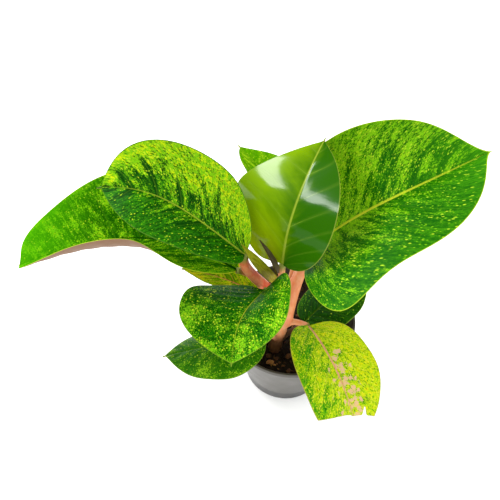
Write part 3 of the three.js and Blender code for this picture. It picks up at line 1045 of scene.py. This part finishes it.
BLADES = [
    Blade(
        "leaf_right", (16.6, 11.7, 188.9), Slot.SPECKLED,
        BladeFinish(
            "green_broad", deep=seen(18, 100, 1), mid=seen(64, 148, 3), bright=seen(148, 222, 20),
            dot=seen(200, 242, 48), patch=seen(190, 230, 24), rib=seen(220, 234, 50),
            margin=seen(180, 214, 40), cover=0.53, cover_to_tip=-0.7, cover_to_left=0.4,
            cover_to_margin=-0.1, specks=0.65, dots=0.45, patches=0.38, streaks=0.5, flow=0.5,
            valley=0.7, vein_shows=0.2, rib_width=2.0, lit_to_tip=0.3, lit_to_margin=0.1, stretch=1.0,
            seed=1,
        ),
        heading=-5.7, turn=35.5, rise=57.5, bend=-51, bend_start=0.945, length=160.8, width=65.1,
        right_share=0.955, roll=-14.2, twist=14.9, fold_left=24.4, fold_right=15.2, curl_left=64,
        curl_right=-24.9, peak=0.328, blunt_base=0.582, blunt_tip=1.436, cusp=0.99, lobe_left=0.067,
        lobe_right=0.003, bulge_right=0.48, sweep=0.085, wave_phase=40, veins=7, vein_lean=0.42,
    ),
    Blade(
        "leaf_new", (-14, -19, 197), Slot.YOUNG,
        YoungFinish("green_newest"),
        heading=63, turn=7, rise=90, bend=-96, bend_start=1.07, length=126, width=55,
        right_share=0.63, roll=-10, twist=-2, fold_left=3, fold_right=5, curl_left=-19, curl_right=0,
        peak=0.49, blunt_base=0.66, blunt_tip=0.99, lobe_left=0.16, lobe_right=0.02, sweep=-0.06,
        wave=0.3, veins=6, vein_lean=0.45, quilt=0.1,
    ),
    Blade(
        "leaf_left_upper", (-44, -23, 213), Slot.SPECKLED,
        BladeFinish(
            "green_upper", deep=seen(10, 72, 2), mid=seen(50, 138, 5), bright=seen(146, 222, 14),
            dot=seen(208, 242, 44), patch=seen(232, 250, 10), cover=0.42, cover_to_tip=-0.1,
            cover_to_left=-0.7, cover_to_margin=0.2, specks=0.65, dots=0.4, patches=0.5, streaks=0.5,
            # Painted shadow: the dark margin stands in for the shadow line along the blade's lower edge.
            flow=0.5, valley=1.0, rib_width=0.7, rib=seen(160, 186, 44), margin=seen(84, 134, 30),
            stretch=1.0, seed=3,
        ),
        heading=162, turn=8, rise=35, bend=-54, bend_start=1.7, length=130, width=34,
        right_share=1.32, roll=-4, twist=-29, fold_left=20, fold_right=21, curl_left=0, curl_right=24,
        peak=0.54, blunt_base=0.62, blunt_tip=0.89, lobe_left=0.06, lobe_right=0.03, sweep=0.02,
        wave_phase=120, veins=6.5, vein_lean=0.4,
    ),
    Blade(
        "leaf_left_outer", (-49.6, -21.6, 189.8), Slot.SPECKLED,
        BladeFinish(
            "green_outer", deep=seen(20, 86, 1), mid=seen(62, 136, 4), bright=seen(136, 210, 20),
            dot=seen(200, 232, 40), patch=seen(214, 230, 10), cover=0.46, patches=0.4, specks=0.6,
            # Painted shade: the dark rib stands in for the shading along the midrib fold. Painted light:
            # the tip and rim are lit brighter, as light glows through the blade.
            dots=0.3, streaks=0.5, flow=0.5, valley=0.5, rib=seen(14, 70, 2), rib_width=1.2, gloss=0.0,
            lit_to_tip=0.6, lit_to_margin=0.3, margin=seen(196, 224, 40), stretch=1.0, seed=4,
        ),
        UndersideFinish("underside_flushed", flushed=0.95),
        heading=148.7, turn=46.5, rise=3.7, bend=-20.7, bend_start=0.766, length=194.3, width=55,
        right_share=1.08, roll=4.1, twist=12.8, fold_left=15.6, fold_right=19, curl_left=49.5,
        curl_right=39.5, curl_rise_left=0.458, peak=0.508, blunt_base=0.992, blunt_tip=0.365, cusp=0.99,
        lobe_left=0.041, lobe_right=0.029, sweep=-0.059, wave_phase=200,
    ),
    Blade(
        "leaf_back", (-2, 31, 184), Slot.SPECKLED,
        BladeFinish(
            "green_back", deep=seen(76, 150, 1), mid=seen(110, 182, 5), bright=seen(196, 240, 36),
            gloss=0.0, cover=0.35, dots=0.4, rib_shows=0.4, seed=5,
        ),
        heading=129, turn=1, rise=36, bend=-33, length=89, width=35,
        right_share=1.02, roll=17, twist=17, fold_left=16, fold_right=14, curl_left=2, curl_right=-2,
        blunt_tip=1.1,
    ),
    Blade(
        "leaf_front", (-26, -28, 174), Slot.SPECKLED,
        BladeFinish(
            "green_front", deep=seen(8, 78, 2), mid=seen(42, 132, 4), bright=seen(144, 224, 26),
            dot=seen(220, 246, 50), patch=seen(210, 236, 30), cover=0.4, cover_to_tip=0.6,
            cover_to_margin=0.15, specks=0.55, dots=0.6, patches=0.35, streaks=0.2, flow=0.0, valley=0.2,
            vein_shows=0.1, rib_width=0.6, gloss=0.01, margin=seen(130, 170, 40), stretch=1.0, seed=6,
        ),
        heading=239, turn=30, rise=22, bend=-25, bend_start=1.12, length=86, width=46,
        right_share=1.05, roll=46, twist=-48, fold_left=21, fold_right=14, curl_right=19,
        peak=0.47, blunt_base=0.71, lobe_left=0.08, lobe_right=0.15, sweep=0.07,
        wave_phase=60, quilt=0.35,
    ),
    Blade(
        "leaf_front_low", (-24, -38, 118), Slot.DARK,
        BladeFinish(
            "green_low", deep=seen(28, 96, 3), mid=seen(66, 142, 8), bright=seen(160, 224, 28), cover=0.26,
            specks=0.45, dots=0.4, patches=0.15, streaks=0.15, flow=0.0, rib_shows=0.15, vein_shows=0.1,
            stretch=1.0, seed=7,
        ),
        heading=193, turn=-7, rise=-2, bend=-19, length=91, width=35,
        roll=10, twist=18, fold_left=7, fold_right=3, curl_left=-36, curl_right=-35,
        peak=0.43, blunt_base=0.66, blunt_tip=1.12, lobe_left=0.02, sweep=0.07,
    ),
    Blade(
        "leaf_pale", (13, -31, 126), Slot.PALE,
        BladeFinish(
            "green_pale", deep=seen(36, 138, 2), mid=seen(112, 202, 5), bright=seen(216, 248, 16),
            dot=seen(248, 252, 60), patch=seen(254, 244, 10), rib=seen(250, 180, 136),
            vein=seen(244, 214, 90), margin=seen(200, 200, 60), cover=0.76, cover_to_left=0.3, specks=0.7,
            dots=0.6, patches=0.5, pinks=1.4, streaks=0.2, flow=0.0, valley=0.2, vein_shows=0.25,
            rib_width=1.1, stretch=1.0, seed=8,
        ),
        heading=297, turn=6, rise=20, bend=-80, bend_start=0.72, length=116, width=35,
        right_share=1.02, roll=-16, twist=10, fold_right=16, curl_left=-6, curl_right=-24,
        peak=0.41, blunt_base=0.58, blunt_tip=0.96, lobe_left=0.05, lobe_right=-0.01, sweep=0.12,
        cut=Cut(at=0.785, slope=0.25, notch_at=0.52, notch_spread=0.07, notch_depth=0.07),
    ),
    Blade(
        "leaf_right_low", (11, -13, 102), Slot.DARK,
        BladeFinish(
            "green_shaded", deep=seen(16, 66, 3), mid=seen(38, 104, 6), bright=seen(120, 184, 20),
            cover=0.2, specks=0.3, dots=0.25, patches=0.2, rib_shows=0.1, vein_shows=0.1, seed=9,
        ),
        heading=35, turn=-4, rise=36, bend=-2, length=81, width=29,
        right_share=1.03, roll=-11, twist=-4, fold_left=3, fold_right=8, curl_left=-30, curl_right=-24,
        peak=0.46, blunt_base=0.64, blunt_tip=1.11, lobe_left=0.06,
    ),
    Blade(
        "leaf_left_low", (-31, 5, 118), Slot.YOUNG,
        BladeFinish(
            "green_yellowing", deep=seen(70, 124, 2), mid=seen(124, 172, 6), bright=seen(196, 224, 20),
            patch=seen(234, 190, 30), rib=seen(220, 130, 80), vein=seen(224, 170, 60), cover=0.6,
            patches=0.6, vein_shows=0.5, gloss=0.0, seed=10,
        ),
        heading=171, turn=7, rise=28, bend=-17, length=73, width=26,
        roll=12, twist=16, fold_left=16, fold_right=13, curl_left=-3, curl_right=-15,
        blunt_tip=0.85, sweep=0.13,
    ),
]


@dataclass(frozen=True)
class StalkFinish(Finish):
    """Smooth salmon pink stalks, paler and greener toward the blades, and dark brown low on the cane,
    partly woody and partly painted shade.
    """

    name: str = "stalk_salmon"
    pink: Colour = linear(208, 138, 90)
    cream: Colour = linear(212, 170, 126)
    rose: Colour = linear(206, 86, 58)
    green: Colour = seen(150, 160, 70)
    # Partly the cane's own woody brown and partly painted shade: below these heights, in metres, the stems
    # turn dark brown.
    woody_and_shade: Colour = seen(96, 62, 34)
    woody_and_shade_from: float = 0.116
    woody_and_shade_to: float = 0.096

    def paint(self, w: Wiring) -> None:
        """Wires up the shader.

        Args:
            w: The material's wiring.
        """
        place = w.place()
        share = w.number("stalk_share")
        blush = w.number("stalk_blush")
        stretched = w.node("ShaderNodeMapping")
        w.feed(stretched.inputs["Vector"], place)
        stretched.inputs["Scale"].default_value = (1, 1, 0.25)
        streak = w.noise(stretched.outputs[0], 420, detail=3.0, rough=0.6)
        cloud = w.noise(place, 60, detail=3.0, rough=0.6)
        colour = w.mix(w.times(w.step(streak, 0.3, 0.8), 0.6), self.pink, self.cream)
        colour = w.mix(w.times(w.step(cloud, 0.2, 0.65), blush), colour, self.rose)
        colour = w.mix(w.step(share, 0.86, 1.0), colour, self.green)
        # Painted shade, in part: the stems darken to brown toward the foot of the cane.
        height = w.split(place)[2]
        colour = w.mix(w.step(height, self.woody_and_shade_from, self.woody_and_shade_to), colour, self.woody_and_shade)
        w.set(Base_Color=colour, Specular_IOR_Level=0.2)
        w.set(Roughness=w.plus(w.times(cloud, 0.2), 0.3))
        w.bump(streak, depth=0.0001, strength=0.3)


@dataclass(frozen=True)
class Stalk:
    """A leaf stalk: a bent tube with a shallow channel on top, from the cane to its blade."""

    blade: str
    start: Place
    away: Place
    into: Place
    from_radius: float
    to_radius: float
    thin: float = 0.8
    blush: float = 0.2
    channel: float = 0.22

    def path(self, blade: Blade, steps: int) -> np.ndarray:
        """Gives places along the stalk, in millimetres.

        Args:
            blade: The blade that it carries.
            steps: How many stretches it is cut into.

        Returns:
            One row a place.
        """
        start = np.array(self.start, float)
        end = blade.places[0]
        share = np.linspace(0, 1, steps + 1)[:, None]
        near = start + np.array(self.away)
        far = end - np.array(self.into)
        left = 1 - share
        return left**3 * start + 3 * left**2 * share * near + 3 * left * share**2 * far + share**3 * end

    def radius(self, share: np.ndarray) -> np.ndarray:
        """Gives the stalk's radius at shares of its length."""
        return self.from_radius + (self.to_radius - self.from_radius) * share**self.thin


def rolled(places: np.ndarray, radii: np.ndarray, facing: np.ndarray, channel: float) -> bpy.types.Object:
    """Rolls a sheet into a closed tube with a shallow channel along it.

    Args:
        places: The tube's middle line, in millimetres.
        radii: Its radius at each place.
        facing: The way that the channel looks.
        channel: The channel's depth, as a share of the radius.

    Returns:
        The tube.
    """
    around = 28
    steps = len(places) - 1
    bpy.ops.mesh.primitive_grid_add(x_subdivisions=around, y_subdivisions=steps, size=2)
    piece = bpy.context.object
    flat = read_points(piece.data)
    angle = flat[:, 0] * np.pi
    row = np.rint((flat[:, 1] + 1) / 2 * steps).astype(int)
    along = np.gradient(places, axis=0)
    along /= np.linalg.norm(along, axis=1, keepdims=True)
    front = facing - along * (along @ facing)[:, None]
    front /= np.linalg.norm(front, axis=1, keepdims=True)
    side = np.cross(along, front)
    radius = (radii[row] * (1 - channel * np.exp(-((angle / 0.5) ** 2))))[:, None]
    ring = front[row] * np.cos(angle)[:, None] + side[row] * np.sin(angle)[:, None]
    write_points(piece.data, (places[row] + ring * radius) * MM)
    with editing(piece):
        bpy.ops.mesh.remove_doubles(threshold=1e-6)
        bpy.ops.mesh.fill_holes(sides=0)
    face_outward(piece)
    return piece


@dataclass
class Stems:
    """The cane with every leaf stalk grown into it."""

    stalks: list[Stalk]
    finish: StalkFinish = field(default_factory=StalkFinish)
    cane: tuple[Place, ...] = ((-14, -26, 42), (-13.5, -26, 78), (-11, -25, 108), (-7, -23, 130))
    cane_radii: tuple[float, ...] = (5.6, 6.2, 6.6, 5)
    node_swell: float = 0.25
    node_turns: float = 2.5
    voxel: float = 0.6
    steps: int = 40

    def cane_line(self) -> tuple[np.ndarray, np.ndarray]:
        """Lays a smooth line through the cane's places.

        Returns:
            Its places and the radius at each.
        """
        knots = np.array(self.cane, float)
        share = np.linspace(0, len(knots) - 1, self.steps + 1)
        keys = np.arange(len(knots))
        fit = [np.polyfit(keys, knots[:, axis], 3) for axis in range(3)]
        line = np.stack([np.polyval(f, share) for f in fit], -1)
        nodes = self.node_swell * np.cos(share * TAU * self.node_turns)
        return line, np.interp(share, keys, self.cane_radii) + nodes

    def build(self, blades: dict[str, Blade]) -> bpy.types.Object:
        """Makes the stems as one grown piece.

        Args:
            blades: The blades that the stalks carry, by name.

        Returns:
            The finished piece.
        """
        line, radii = self.cane_line()
        tubes = [rolled(line, radii, np.array([0.0, 1.0, 0.0]), 0.0)]
        paths = []
        share = np.linspace(0, 1, self.steps + 1)
        for stalk in self.stalks:
            blade = blades[stalk.blade]
            path = stalk.path(blade, self.steps)
            bearing = blade.bearing(np.zeros(1))[0]
            facing = np.array([-math.cos(bearing), -math.sin(bearing), 1.0])
            tubes.append(rolled(path, stalk.radius(share), facing, stalk.channel))
            paths.append(path)
        bpy.ops.object.select_all(action="DESELECT")
        for tube in tubes:
            tube.select_set(True)
        bpy.context.view_layer.objects.active = tubes[0]
        bpy.ops.object.join()
        piece = tubes[0]
        piece.name = "stalks_and_cane"
        self.grow_together(piece)
        self.store(piece.data, paths, share)
        piece.data.materials.append(self.finish.material())
        return settle(piece, "stems")

    def grow_together(self, piece: bpy.types.Object) -> None:
        """Joins crossing tubes into one smooth skin.

        Args:
            piece: The tubes, as one piece.
        """
        pick(piece)
        skin = piece.modifiers.new("skin", "REMESH")
        skin.mode = "VOXEL"
        skin.voxel_size = self.voxel * MM * 1
        bpy.ops.object.modifier_apply(modifier=skin.name)
        soft = piece.modifiers.new("soft", "SMOOTH")
        soft.factor = 0.5
        soft.iterations = 4
        bpy.ops.object.modifier_apply(modifier=soft.name)
        smooth_shade(piece, angle_deg=70)

    def store(self, mesh: bpy.types.Mesh, paths: list[np.ndarray], share: np.ndarray) -> None:
        """Stores how far along its stalk each vertex lies, and how rosy that stalk is.

        Args:
            mesh: The stems' mesh.
            paths: The stalks' middle lines.
            share: The share of the stalk at each place of those lines.
        """
        places = read_points(mesh) / MM
        nearest = np.full(len(places), np.inf)
        along = np.zeros(len(places))
        blush = np.zeros(len(places))
        for stalk, path in zip(self.stalks, paths, strict=True):
            gaps = np.linalg.norm(places[:, None, :] - path[None, :, :], axis=2) / stalk.radius(share)
            best = gaps.argmin(1)
            gap = gaps[np.arange(len(places)), best]
            closer = gap < nearest
            nearest = np.where(closer, gap, nearest)
            along = np.where(closer, share[best], along)
            blush = np.where(closer, stalk.blush, blush)
        write_marks(mesh, "stalk_share", along)
        write_marks(mesh, "stalk_blush", blush)


STALKS = [
    Stalk("leaf_right", (-7, -23, 118), (1, 2, 32), (13, 4, 20), 6.8, 3.2, thin=1.4, blush=0.4),
    Stalk("leaf_new", (-9, -22, 122), (-2, 3, 28), (1, 4, 24), 5, 2.8, blush=0.35),
    Stalk("leaf_left_upper", (-10, -21, 122), (4, 8, 28), (6, 0, 28), 5.4, 4, thin=1, blush=1.0),
    Stalk("leaf_left_outer", (-10, -18, 113), (2, 15, 12), (-16, -14, 22), 4.2, 2.6, blush=0.8),
    Stalk("leaf_back", (-8, -18, 116), (0, 12, 22), (-8, 12, 14), 4.2, 2.2),
    Stalk("leaf_front", (-11, -25, 108), (-5, -2, 26), (-7, -8, 17), 4.2, 2.4),
    Stalk("leaf_front_low", (-12, -26, 92), (-2, -4, 14), (-6, -2, 2), 3.4, 2),
    Stalk("leaf_pale", (-9, -24, 112), (6, 0, 14), (5, -4, 2), 3.6, 2.2),
    Stalk("leaf_right_low", (-11, -24, 88), (6, 3, 8), (5, 4, 5), 3.4, 2),
    Stalk("leaf_left_low", (-11, -23, 94), (-5, 9, 12), (-7, 2, 4), 3.4, 1.9),
]


@dataclass(frozen=True)
class SheathFinish(Finish):
    """A drying sheath leaf: olive with brown streaks and a yellow inside."""

    olive: Colour = seen(120, 128, 24)
    brown: Colour = seen(84, 66, 22)
    warm: Colour = seen(206, 160, 50)
    warmth: float = 0.4

    def paint(self, w: Wiring) -> None:
        """Wires up the shader.

        Args:
            w: The material's wiring.
        """
        along, across, edge = w.split(w.named(BLADE_PLACE))
        length, _, _ = w.split(w.named(BLADE_SHARE))
        run = w.join(w.times(along, 0.12), across, 2.0)
        streak = w.noise(run, 1.4, detail=3.0, rough=0.6)
        colour = w.mix(w.step(streak, 0.42, 0.62), self.olive, self.brown)
        low = w.times(w.step(length, 0.6, 0.0), self.warmth)
        colour = w.mix(low, colour, self.warm)
        colour = w.mix(w.step(edge, 0.5, 0.1), colour, self.brown)
        w.set(Base_Color=colour, Roughness=0.45, Specular_IOR_Level=0.3)
        w.bump(streak, depth=0.0002, strength=0.5)


@dataclass(frozen=True)
class PotFinish(Finish):
    """Black moulded plastic with a soft sheen and a faint grain, lifted to dark grey as a painted
    reflection, with dust and a painted shade on the foot band.
    """

    name: str = "nursery_black"
    # Painted reflection: body and dust are lifted from black to dark grey, standing in for the pale
    # floor's reflection in the plastic.
    body: Colour = (0.049, 0.0425, 0.032)
    dust_and_sheen: Colour = (0.092, 0.082, 0.062)
    # Painted shade: the foot band is darker than the side, for the light it loses as it tapers in toward
    # the floor.
    foot: Colour = (0.012, 0.01, 0.008)
    band_top: float = 0.0188

    def paint(self, w: Wiring) -> None:
        """Wires up the shader.

        Args:
            w: The material's wiring.
        """
        place = w.place()
        cloud = w.noise(place, 70, detail=4.0, rough=0.6)
        # Dust clouds over the body, both lifted as a painted reflection of the floor.
        colour = w.mix(w.times(w.step(cloud, 0.5, 0.8), 0.35), self.body, self.dust_and_sheen)
        # Painted shade: the foot band below band_top is darkened.
        low = w.step(w.split(place)[2], self.band_top, self.band_top - 0.001)
        colour = w.mix(w.times(low, 0.8), colour, self.foot)
        duller = w.times(low, 0.2)
        w.set(Base_Color=colour, IOR=1.48, Specular_IOR_Level=w.minus(0.5, duller))
        w.set(Roughness=w.plus(w.times(cloud, 0.2), 0.24))
        w.bump(w.noise(place, 1600, 2.0), depth=0.0001, strength=0.25)


@dataclass
class NurseryPot:
    """A round tapered pot: foot band, step, side, rim lip and drain holes."""

    height: float = 90.0
    rim_radius: float = 60.0
    base_radius: float = 39.0
    band_height: float = 18.6
    band_radius: float = 41.9
    band_step: float = 0.9
    wall: float = 1.4
    floor: float = 2.0
    lip_drop: float = 5.0
    lip_overhang: float = 1.5
    drain_radius: float = 4.0
    drain_circle: float = 27.0
    drain_count: int = 6
    drain_turn: float = 0.3
    sides: int = 144
    finish: PotFinish = field(default_factory=PotFinish)

    def inside(self, height: float) -> float:
        """Gives the radius inside the tapering side.

        Args:
            height: The height over the base.

        Returns:
            The radius.
        """
        rise = self.height - self.lip_drop - self.band_height
        flare = (self.rim_radius - self.lip_overhang - self.band_radius) / rise
        return self.band_radius + flare * (height - self.band_height) - self.wall

    def profile(self) -> list[tuple[float, float]]:
        """Gives the wall's line, up the outside and down the inside.

        Returns:
            Radius and height pairs.
        """
        under = self.height - self.lip_drop
        rim = self.rim_radius
        inner_rim = rim - self.wall - 0.7
        outer = [
            (self.base_radius - 1, 0),
            (self.base_radius - 0.3, 0.3),
            (self.base_radius, 1),
            (self.band_radius, self.band_height - 0.3),
            (self.band_radius + 0.1, self.band_height),
            (self.band_radius + self.band_step, self.band_height + 0.4),
            (rim - self.lip_overhang, under),
            (rim - 0.4, under + 0.1),
            (rim, under + 0.6),
            (rim, self.height - 0.6),
        ]
        top = [
            (rim - 0.25, self.height - 0.15),
            (rim - 0.7, self.height),
            (inner_rim + 0.4, self.height),
            (inner_rim, self.height - 0.4),
        ]
        inner = [
            (self.inside(under) + 0.2, under - 0.6),
            (self.inside(under), under - 1.4),
            (self.inside(self.band_height), self.band_height),
            (self.base_radius - self.wall, self.floor + 1),
            (self.base_radius - self.wall - 1, self.floor),
        ]
        return outer + top + inner

    def drain(self, piece: bpy.types.Object) -> None:
        """Bores the drain holes through the floor.

        Args:
            piece: The pot.
        """
        for i in range(self.drain_count):
            angle = i * TAU / self.drain_count + self.drain_turn
            x = self.drain_circle * math.cos(angle) * MM
            y = self.drain_circle * math.sin(angle) * MM
            bpy.ops.mesh.primitive_cylinder_add(
                vertices=32, radius=self.drain_radius * MM, depth=0.02, location=(x, y, 0)
            )
            borer = bpy.context.object
            pick(piece)
            hole = piece.modifiers.new("hole", "BOOLEAN")
            hole.operation = "DIFFERENCE"
            hole.object = borer
            bpy.ops.object.modifier_apply(modifier=hole.name)
            bpy.data.objects.remove(borer)

    def build(self) -> bpy.types.Object:
        """Makes the pot.

        Returns:
            The finished piece.
        """
        piece = turned("nursery_pot", self.profile(), self.sides)
        self.drain(piece)
        smooth_shade(piece, angle_deg=32)
        piece.data.materials.append(self.finish.material())
        return settle(piece, "pot")


@dataclass(frozen=True)
class MixFinish(Finish):
    """Damp dark mix with bark chunks from near black to tan."""

    name: str = "bark_mix"
    dark: Colour = seen(40, 26, 14)
    brown: Colour = seen(112, 70, 36)
    tan: Colour = seen(196, 136, 72)

    def paint(self, w: Wiring) -> None:
        """Wires up the shader.

        Args:
            w: The material's wiring.
        """
        place = w.place()
        tone = w.number("bark_tone")
        grain = w.noise(place, 900, detail=4.0, rough=0.7)
        lift = w.plus(tone, w.times(w.minus(grain, 0.5), 0.7))
        colour = w.mix(w.step(lift, 0.1, 0.55), self.dark, self.brown)
        colour = w.mix(w.step(lift, 0.6, 1.0), colour, self.tan)
        w.set(Base_Color=colour, Specular_IOR_Level=0.15)
        w.set(Roughness=w.plus(w.times(grain, 0.5), 0.35))
        w.bump(grain, depth=0.0005, strength=0.8)


@dataclass
class PottingMix:
    """The mix in the pot: a crumbly top with a few hundred bark chunks bedded in it."""

    pot: NurseryPot
    top: float = 78.0
    roughness: float = 1.6
    grit: float = 0.35
    bed_gap: float = 0.25
    bed_tone: float = 0.12
    chunks: int = 420
    small: float = 1.3
    large: float = 4.4
    cane_place: tuple[float, float] = (-13.5, -26.0)
    cane_room: float = 6.5
    big_chunk: tuple[float, float, float] = (-18.0, -41.0, 5.2)
    seed: int = 41
    finish: MixFinish = field(default_factory=MixFinish)

    def crumb(self, x: np.ndarray, y: np.ndarray) -> np.ndarray:
        """Gives how far the top stands over its mean level.

        Args:
            x: Places to the right of the pot's middle.
            y: Places behind it.

        Returns:
            The heights.
        """
        broad = np.sin(x * 0.21 + 1.3) * np.cos(y * 0.17 - 0.4)
        fine = np.sin(x * 0.83 - y * 0.61) * np.sin(y * 0.93 + x * 0.37 + 2.1)
        return self.roughness * (0.6 * broad + 0.3 * fine)

    def bed(self) -> bpy.types.Object:
        """Makes the body of the mix, which fills the pot.

        Returns:
            The body.
        """
        gap = self.bed_gap
        under = self.pot.floor + gap
        base = self.pot.base_radius - self.pot.wall
        rim = self.pot.inside(self.top - 2) - gap
        sides = [
            (base - 1 - gap, under),
            (base - gap, under + 1.2),
            (self.pot.inside(self.pot.band_height) - gap, self.pot.band_height),
            (rim, self.top - 2),
        ]
        rings = 40
        top = [(rim * (rings - i) / rings, self.top) for i in range(rings)]
        piece = turned("bark_bed", sides + top, 120)
        places = read_points(piece.data) / MM
        x, y, z = places.T
        on_top = z > self.top - 1
        grit = self.grit * np.sin(x * 2.9 + np.sin(y * 1.7)) * np.sin(y * 3.3 + np.sin(x * 2.1))
        places[:, 2] = np.where(on_top, z + self.crumb(x, y) + grit, z)
        write_points(piece.data, places * MM)
        write_marks(piece.data, "bark_tone", np.full(len(places), self.bed_tone))
        return piece

    def lumps(self, draw: random.Random) -> list[bpy.types.Object]:
        """Makes a few chunk shapes to copy from.

        Args:
            draw: Where the random numbers come from.

        Returns:
            The shapes.
        """
        shapes = []
        for seed in range(6):
            bpy.ops.mesh.primitive_ico_sphere_add(subdivisions=2, radius=1)
            shape = bpy.context.object
            with editing(shape):
                bpy.ops.transform.vertex_random(offset=0.22, seed=seed)
                bpy.ops.transform.resize(value=(1, draw.uniform(0.5, 0.85), draw.uniform(0.4, 0.6)))
            shapes.append(shape)
        return shapes

    def scatter(self, shapes: list[bpy.types.Object], draw: random.Random) -> list[bpy.types.Object]:
        """Beds copies of the chunks in the top.

        Args:
            shapes: The shapes to copy.
            draw: Where the random numbers come from.

        Returns:
            The copies.
        """
        rim = self.pot.inside(self.top - 2) - self.large
        spots = [(*self.big_chunk, 0.95)]
        for _ in range(self.chunks):
            angle = draw.uniform(0, TAU)
            radius = rim * math.sqrt(draw.random())
            size = self.small + (self.large - self.small) * draw.random() ** 3
            x, y = radius * math.cos(angle), radius * math.sin(angle)
            tone = draw.random() ** 1.6
            from_cane = math.hypot(x - self.cane_place[0], y - self.cane_place[1])
            if from_cane > self.cane_room + size * 0.7:
                spots.append((x, y, size, tone))
        copies = []
        for x, y, size, tone in spots:
            copy = draw.choice(shapes).copy()
            copy.data = copy.data.copy()
            bpy.context.scene.collection.objects.link(copy)
            turn = Euler((draw.uniform(-0.7, 0.7), draw.uniform(-0.7, 0.7), draw.uniform(0, TAU)))
            height = self.top + float(self.crumb(np.array(x), np.array(y))) - 0.1 * size
            place = Matrix.Translation(Vector((x, y, height)) * MM)
            copy.data.transform(place @ turn.to_matrix().to_4x4() @ Matrix.Scale(size * MM, 4))
            write_marks(copy.data, "bark_tone", np.full(len(copy.data.vertices), tone))
            copies.append(copy)
        return copies

    def build(self) -> bpy.types.Object:
        """Makes the mix with its chunks.

        Returns:
            The finished piece.
        """
        draw = random.Random(self.seed)
        piece = self.bed()
        shapes = self.lumps(draw)
        copies = self.scatter(shapes, draw)
        for shape in shapes:
            bpy.data.objects.remove(shape)
        pick(piece)
        for copy in copies:
            copy.select_set(True)
        bpy.ops.object.join()
        face_outward(piece)
        smooth_shade(piece, angle_deg=40)
        piece.data.materials.append(self.finish.material())
        return settle(piece, "soil")


@dataclass(frozen=True)
class Softbox:
    """A rectangular studio light."""

    name: str
    place: Place
    target: Place
    width: float
    height: float
    watts: float

    def build(self) -> bpy.types.Object:
        """Hangs the light.

        Returns:
            The light.
        """
        place = Vector(self.place) * MM
        bpy.ops.object.light_add(type="AREA", location=place)
        lamp = bpy.context.object
        lamp.name = self.name
        lamp.rotation_euler = (Vector(self.target) * MM - place).to_track_quat("-Z", "Y").to_euler()
        lamp.data.shape = "RECTANGLE"
        lamp.data.size = self.width * MM
        lamp.data.size_y = self.height * MM
        lamp.data.energy = self.watts
        return lamp


@dataclass(frozen=True)
class Studio:
    """The pale floor, the soft light and the camera at the photograph's angle."""

    camera_place: Place = (-40.0, -353.0, 654.0)
    pitch_deg: float = 52.82
    roll_deg: float = 2.68
    focal_share: float = 1.44
    sensor: float = 36.0
    floor_side: float = 4000.0
    floor_drop: float = 0.2
    floor_tone: Colour = (0.97, 0.97, 0.97)
    ambient: float = 1.9
    lights: tuple[Softbox, ...] = (
        Softbox("softbox_left", (-1034.0, 418.0, 1154.0), (0.0, 0.0, 150.0), 1500.0, 340.0, 19.0),
    )

    def build(self) -> None:
        """Sets the stage."""
        scene = bpy.context.scene
        scene.view_settings.view_transform = "Standard"
        bpy.ops.mesh.primitive_plane_add(size=self.floor_side * MM, location=(0, 0, -self.floor_drop * MM))
        floor = bpy.context.object
        floor.name = "studio_floor"
        w = Wiring("floor_pale")
        w.set(Base_Color=self.floor_tone, Roughness=0.7)
        floor.data.materials.append(w.material)
        world = bpy.data.worlds.new("studio_air")
        world.use_nodes = True
        air = world.node_tree.nodes["Background"]
        air.inputs["Color"].default_value = (1, 1, 1, 1)
        air.inputs["Strength"].default_value = self.ambient
        scene.world = world
        world.cycles_visibility.glossy = False
        for light in self.lights:
            light.build()
        self.camera(scene)

    def camera(self, scene: bpy.types.Scene) -> None:
        """Places the camera, level with the photograph's view.

        Args:
            scene: The scene that looks through it.
        """
        bpy.ops.object.camera_add(location=Vector(self.camera_place) * MM)
        camera = bpy.context.object
        camera.name = "photo_camera"
        tilt = Matrix.Rotation(math.radians(90 - self.pitch_deg), 3, "X")
        roll = Matrix.Rotation(math.radians(self.roll_deg), 3, "Z")
        camera.rotation_euler = (tilt @ roll).to_euler()
        camera.data.sensor_width = self.sensor
        camera.data.lens = self.sensor * self.focal_share
        camera.data.clip_start = 0.01
        scene.camera = camera


SHEATHS = [
    Blade(
        "stalk_sheath", (-17.5, -19.6, 173.7), Slot.SHEATH,
        SheathFinish("sheath_green", olive=seen(196, 200, 30), brown=seen(150, 150, 20)),
        SheathFinish("sheath_green_back", olive=seen(196, 200, 30), brown=seen(150, 150, 20)),
        heading=193, rise=62, bend=0, length=64, width=3.6, roll=-80, peak=0.45,
        fold_left=15, fold_right=15, curl_left=20, curl_right=20, lobe_left=0, lobe_right=0, sweep=0,
        wave=0, quilt=0, rib_depth=0.4, groove=0, rows=90, columns=24,
    ),
    Blade(
        "bud_sheath", (-18, -23, 189), Slot.SHEATH,
        SheathFinish("sheath_brown", olive=seen(96, 88, 30), warmth=0.1),
        SheathFinish("sheath_brown_back", olive=seen(96, 88, 30), warmth=0.1),
        heading=162, rise=71, bend=-9, length=40, width=2.6, peak=0.35,
        fold_left=30, fold_right=30, curl_left=20, curl_right=20, lobe_left=0, lobe_right=0, sweep=0,
        wave=0, quilt=0, rib_depth=0.4, groove=0, rows=70, columns=24,
    ),
]


def main() -> None:
    """Builds the plant, its pot and the studio."""
    logging.basicConfig(level=logging.INFO, format="%(name)s: %(message)s")
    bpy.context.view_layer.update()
    Studio().build()
    pot = NurseryPot()
    pot.build()
    PottingMix(pot).build()
    blades = {blade.name: blade for blade in BLADES}
    Stems(STALKS).build(blades)
    for blade in BLADES + SHEATHS:
        blade.build()


if __name__ == "__main__":
    main()
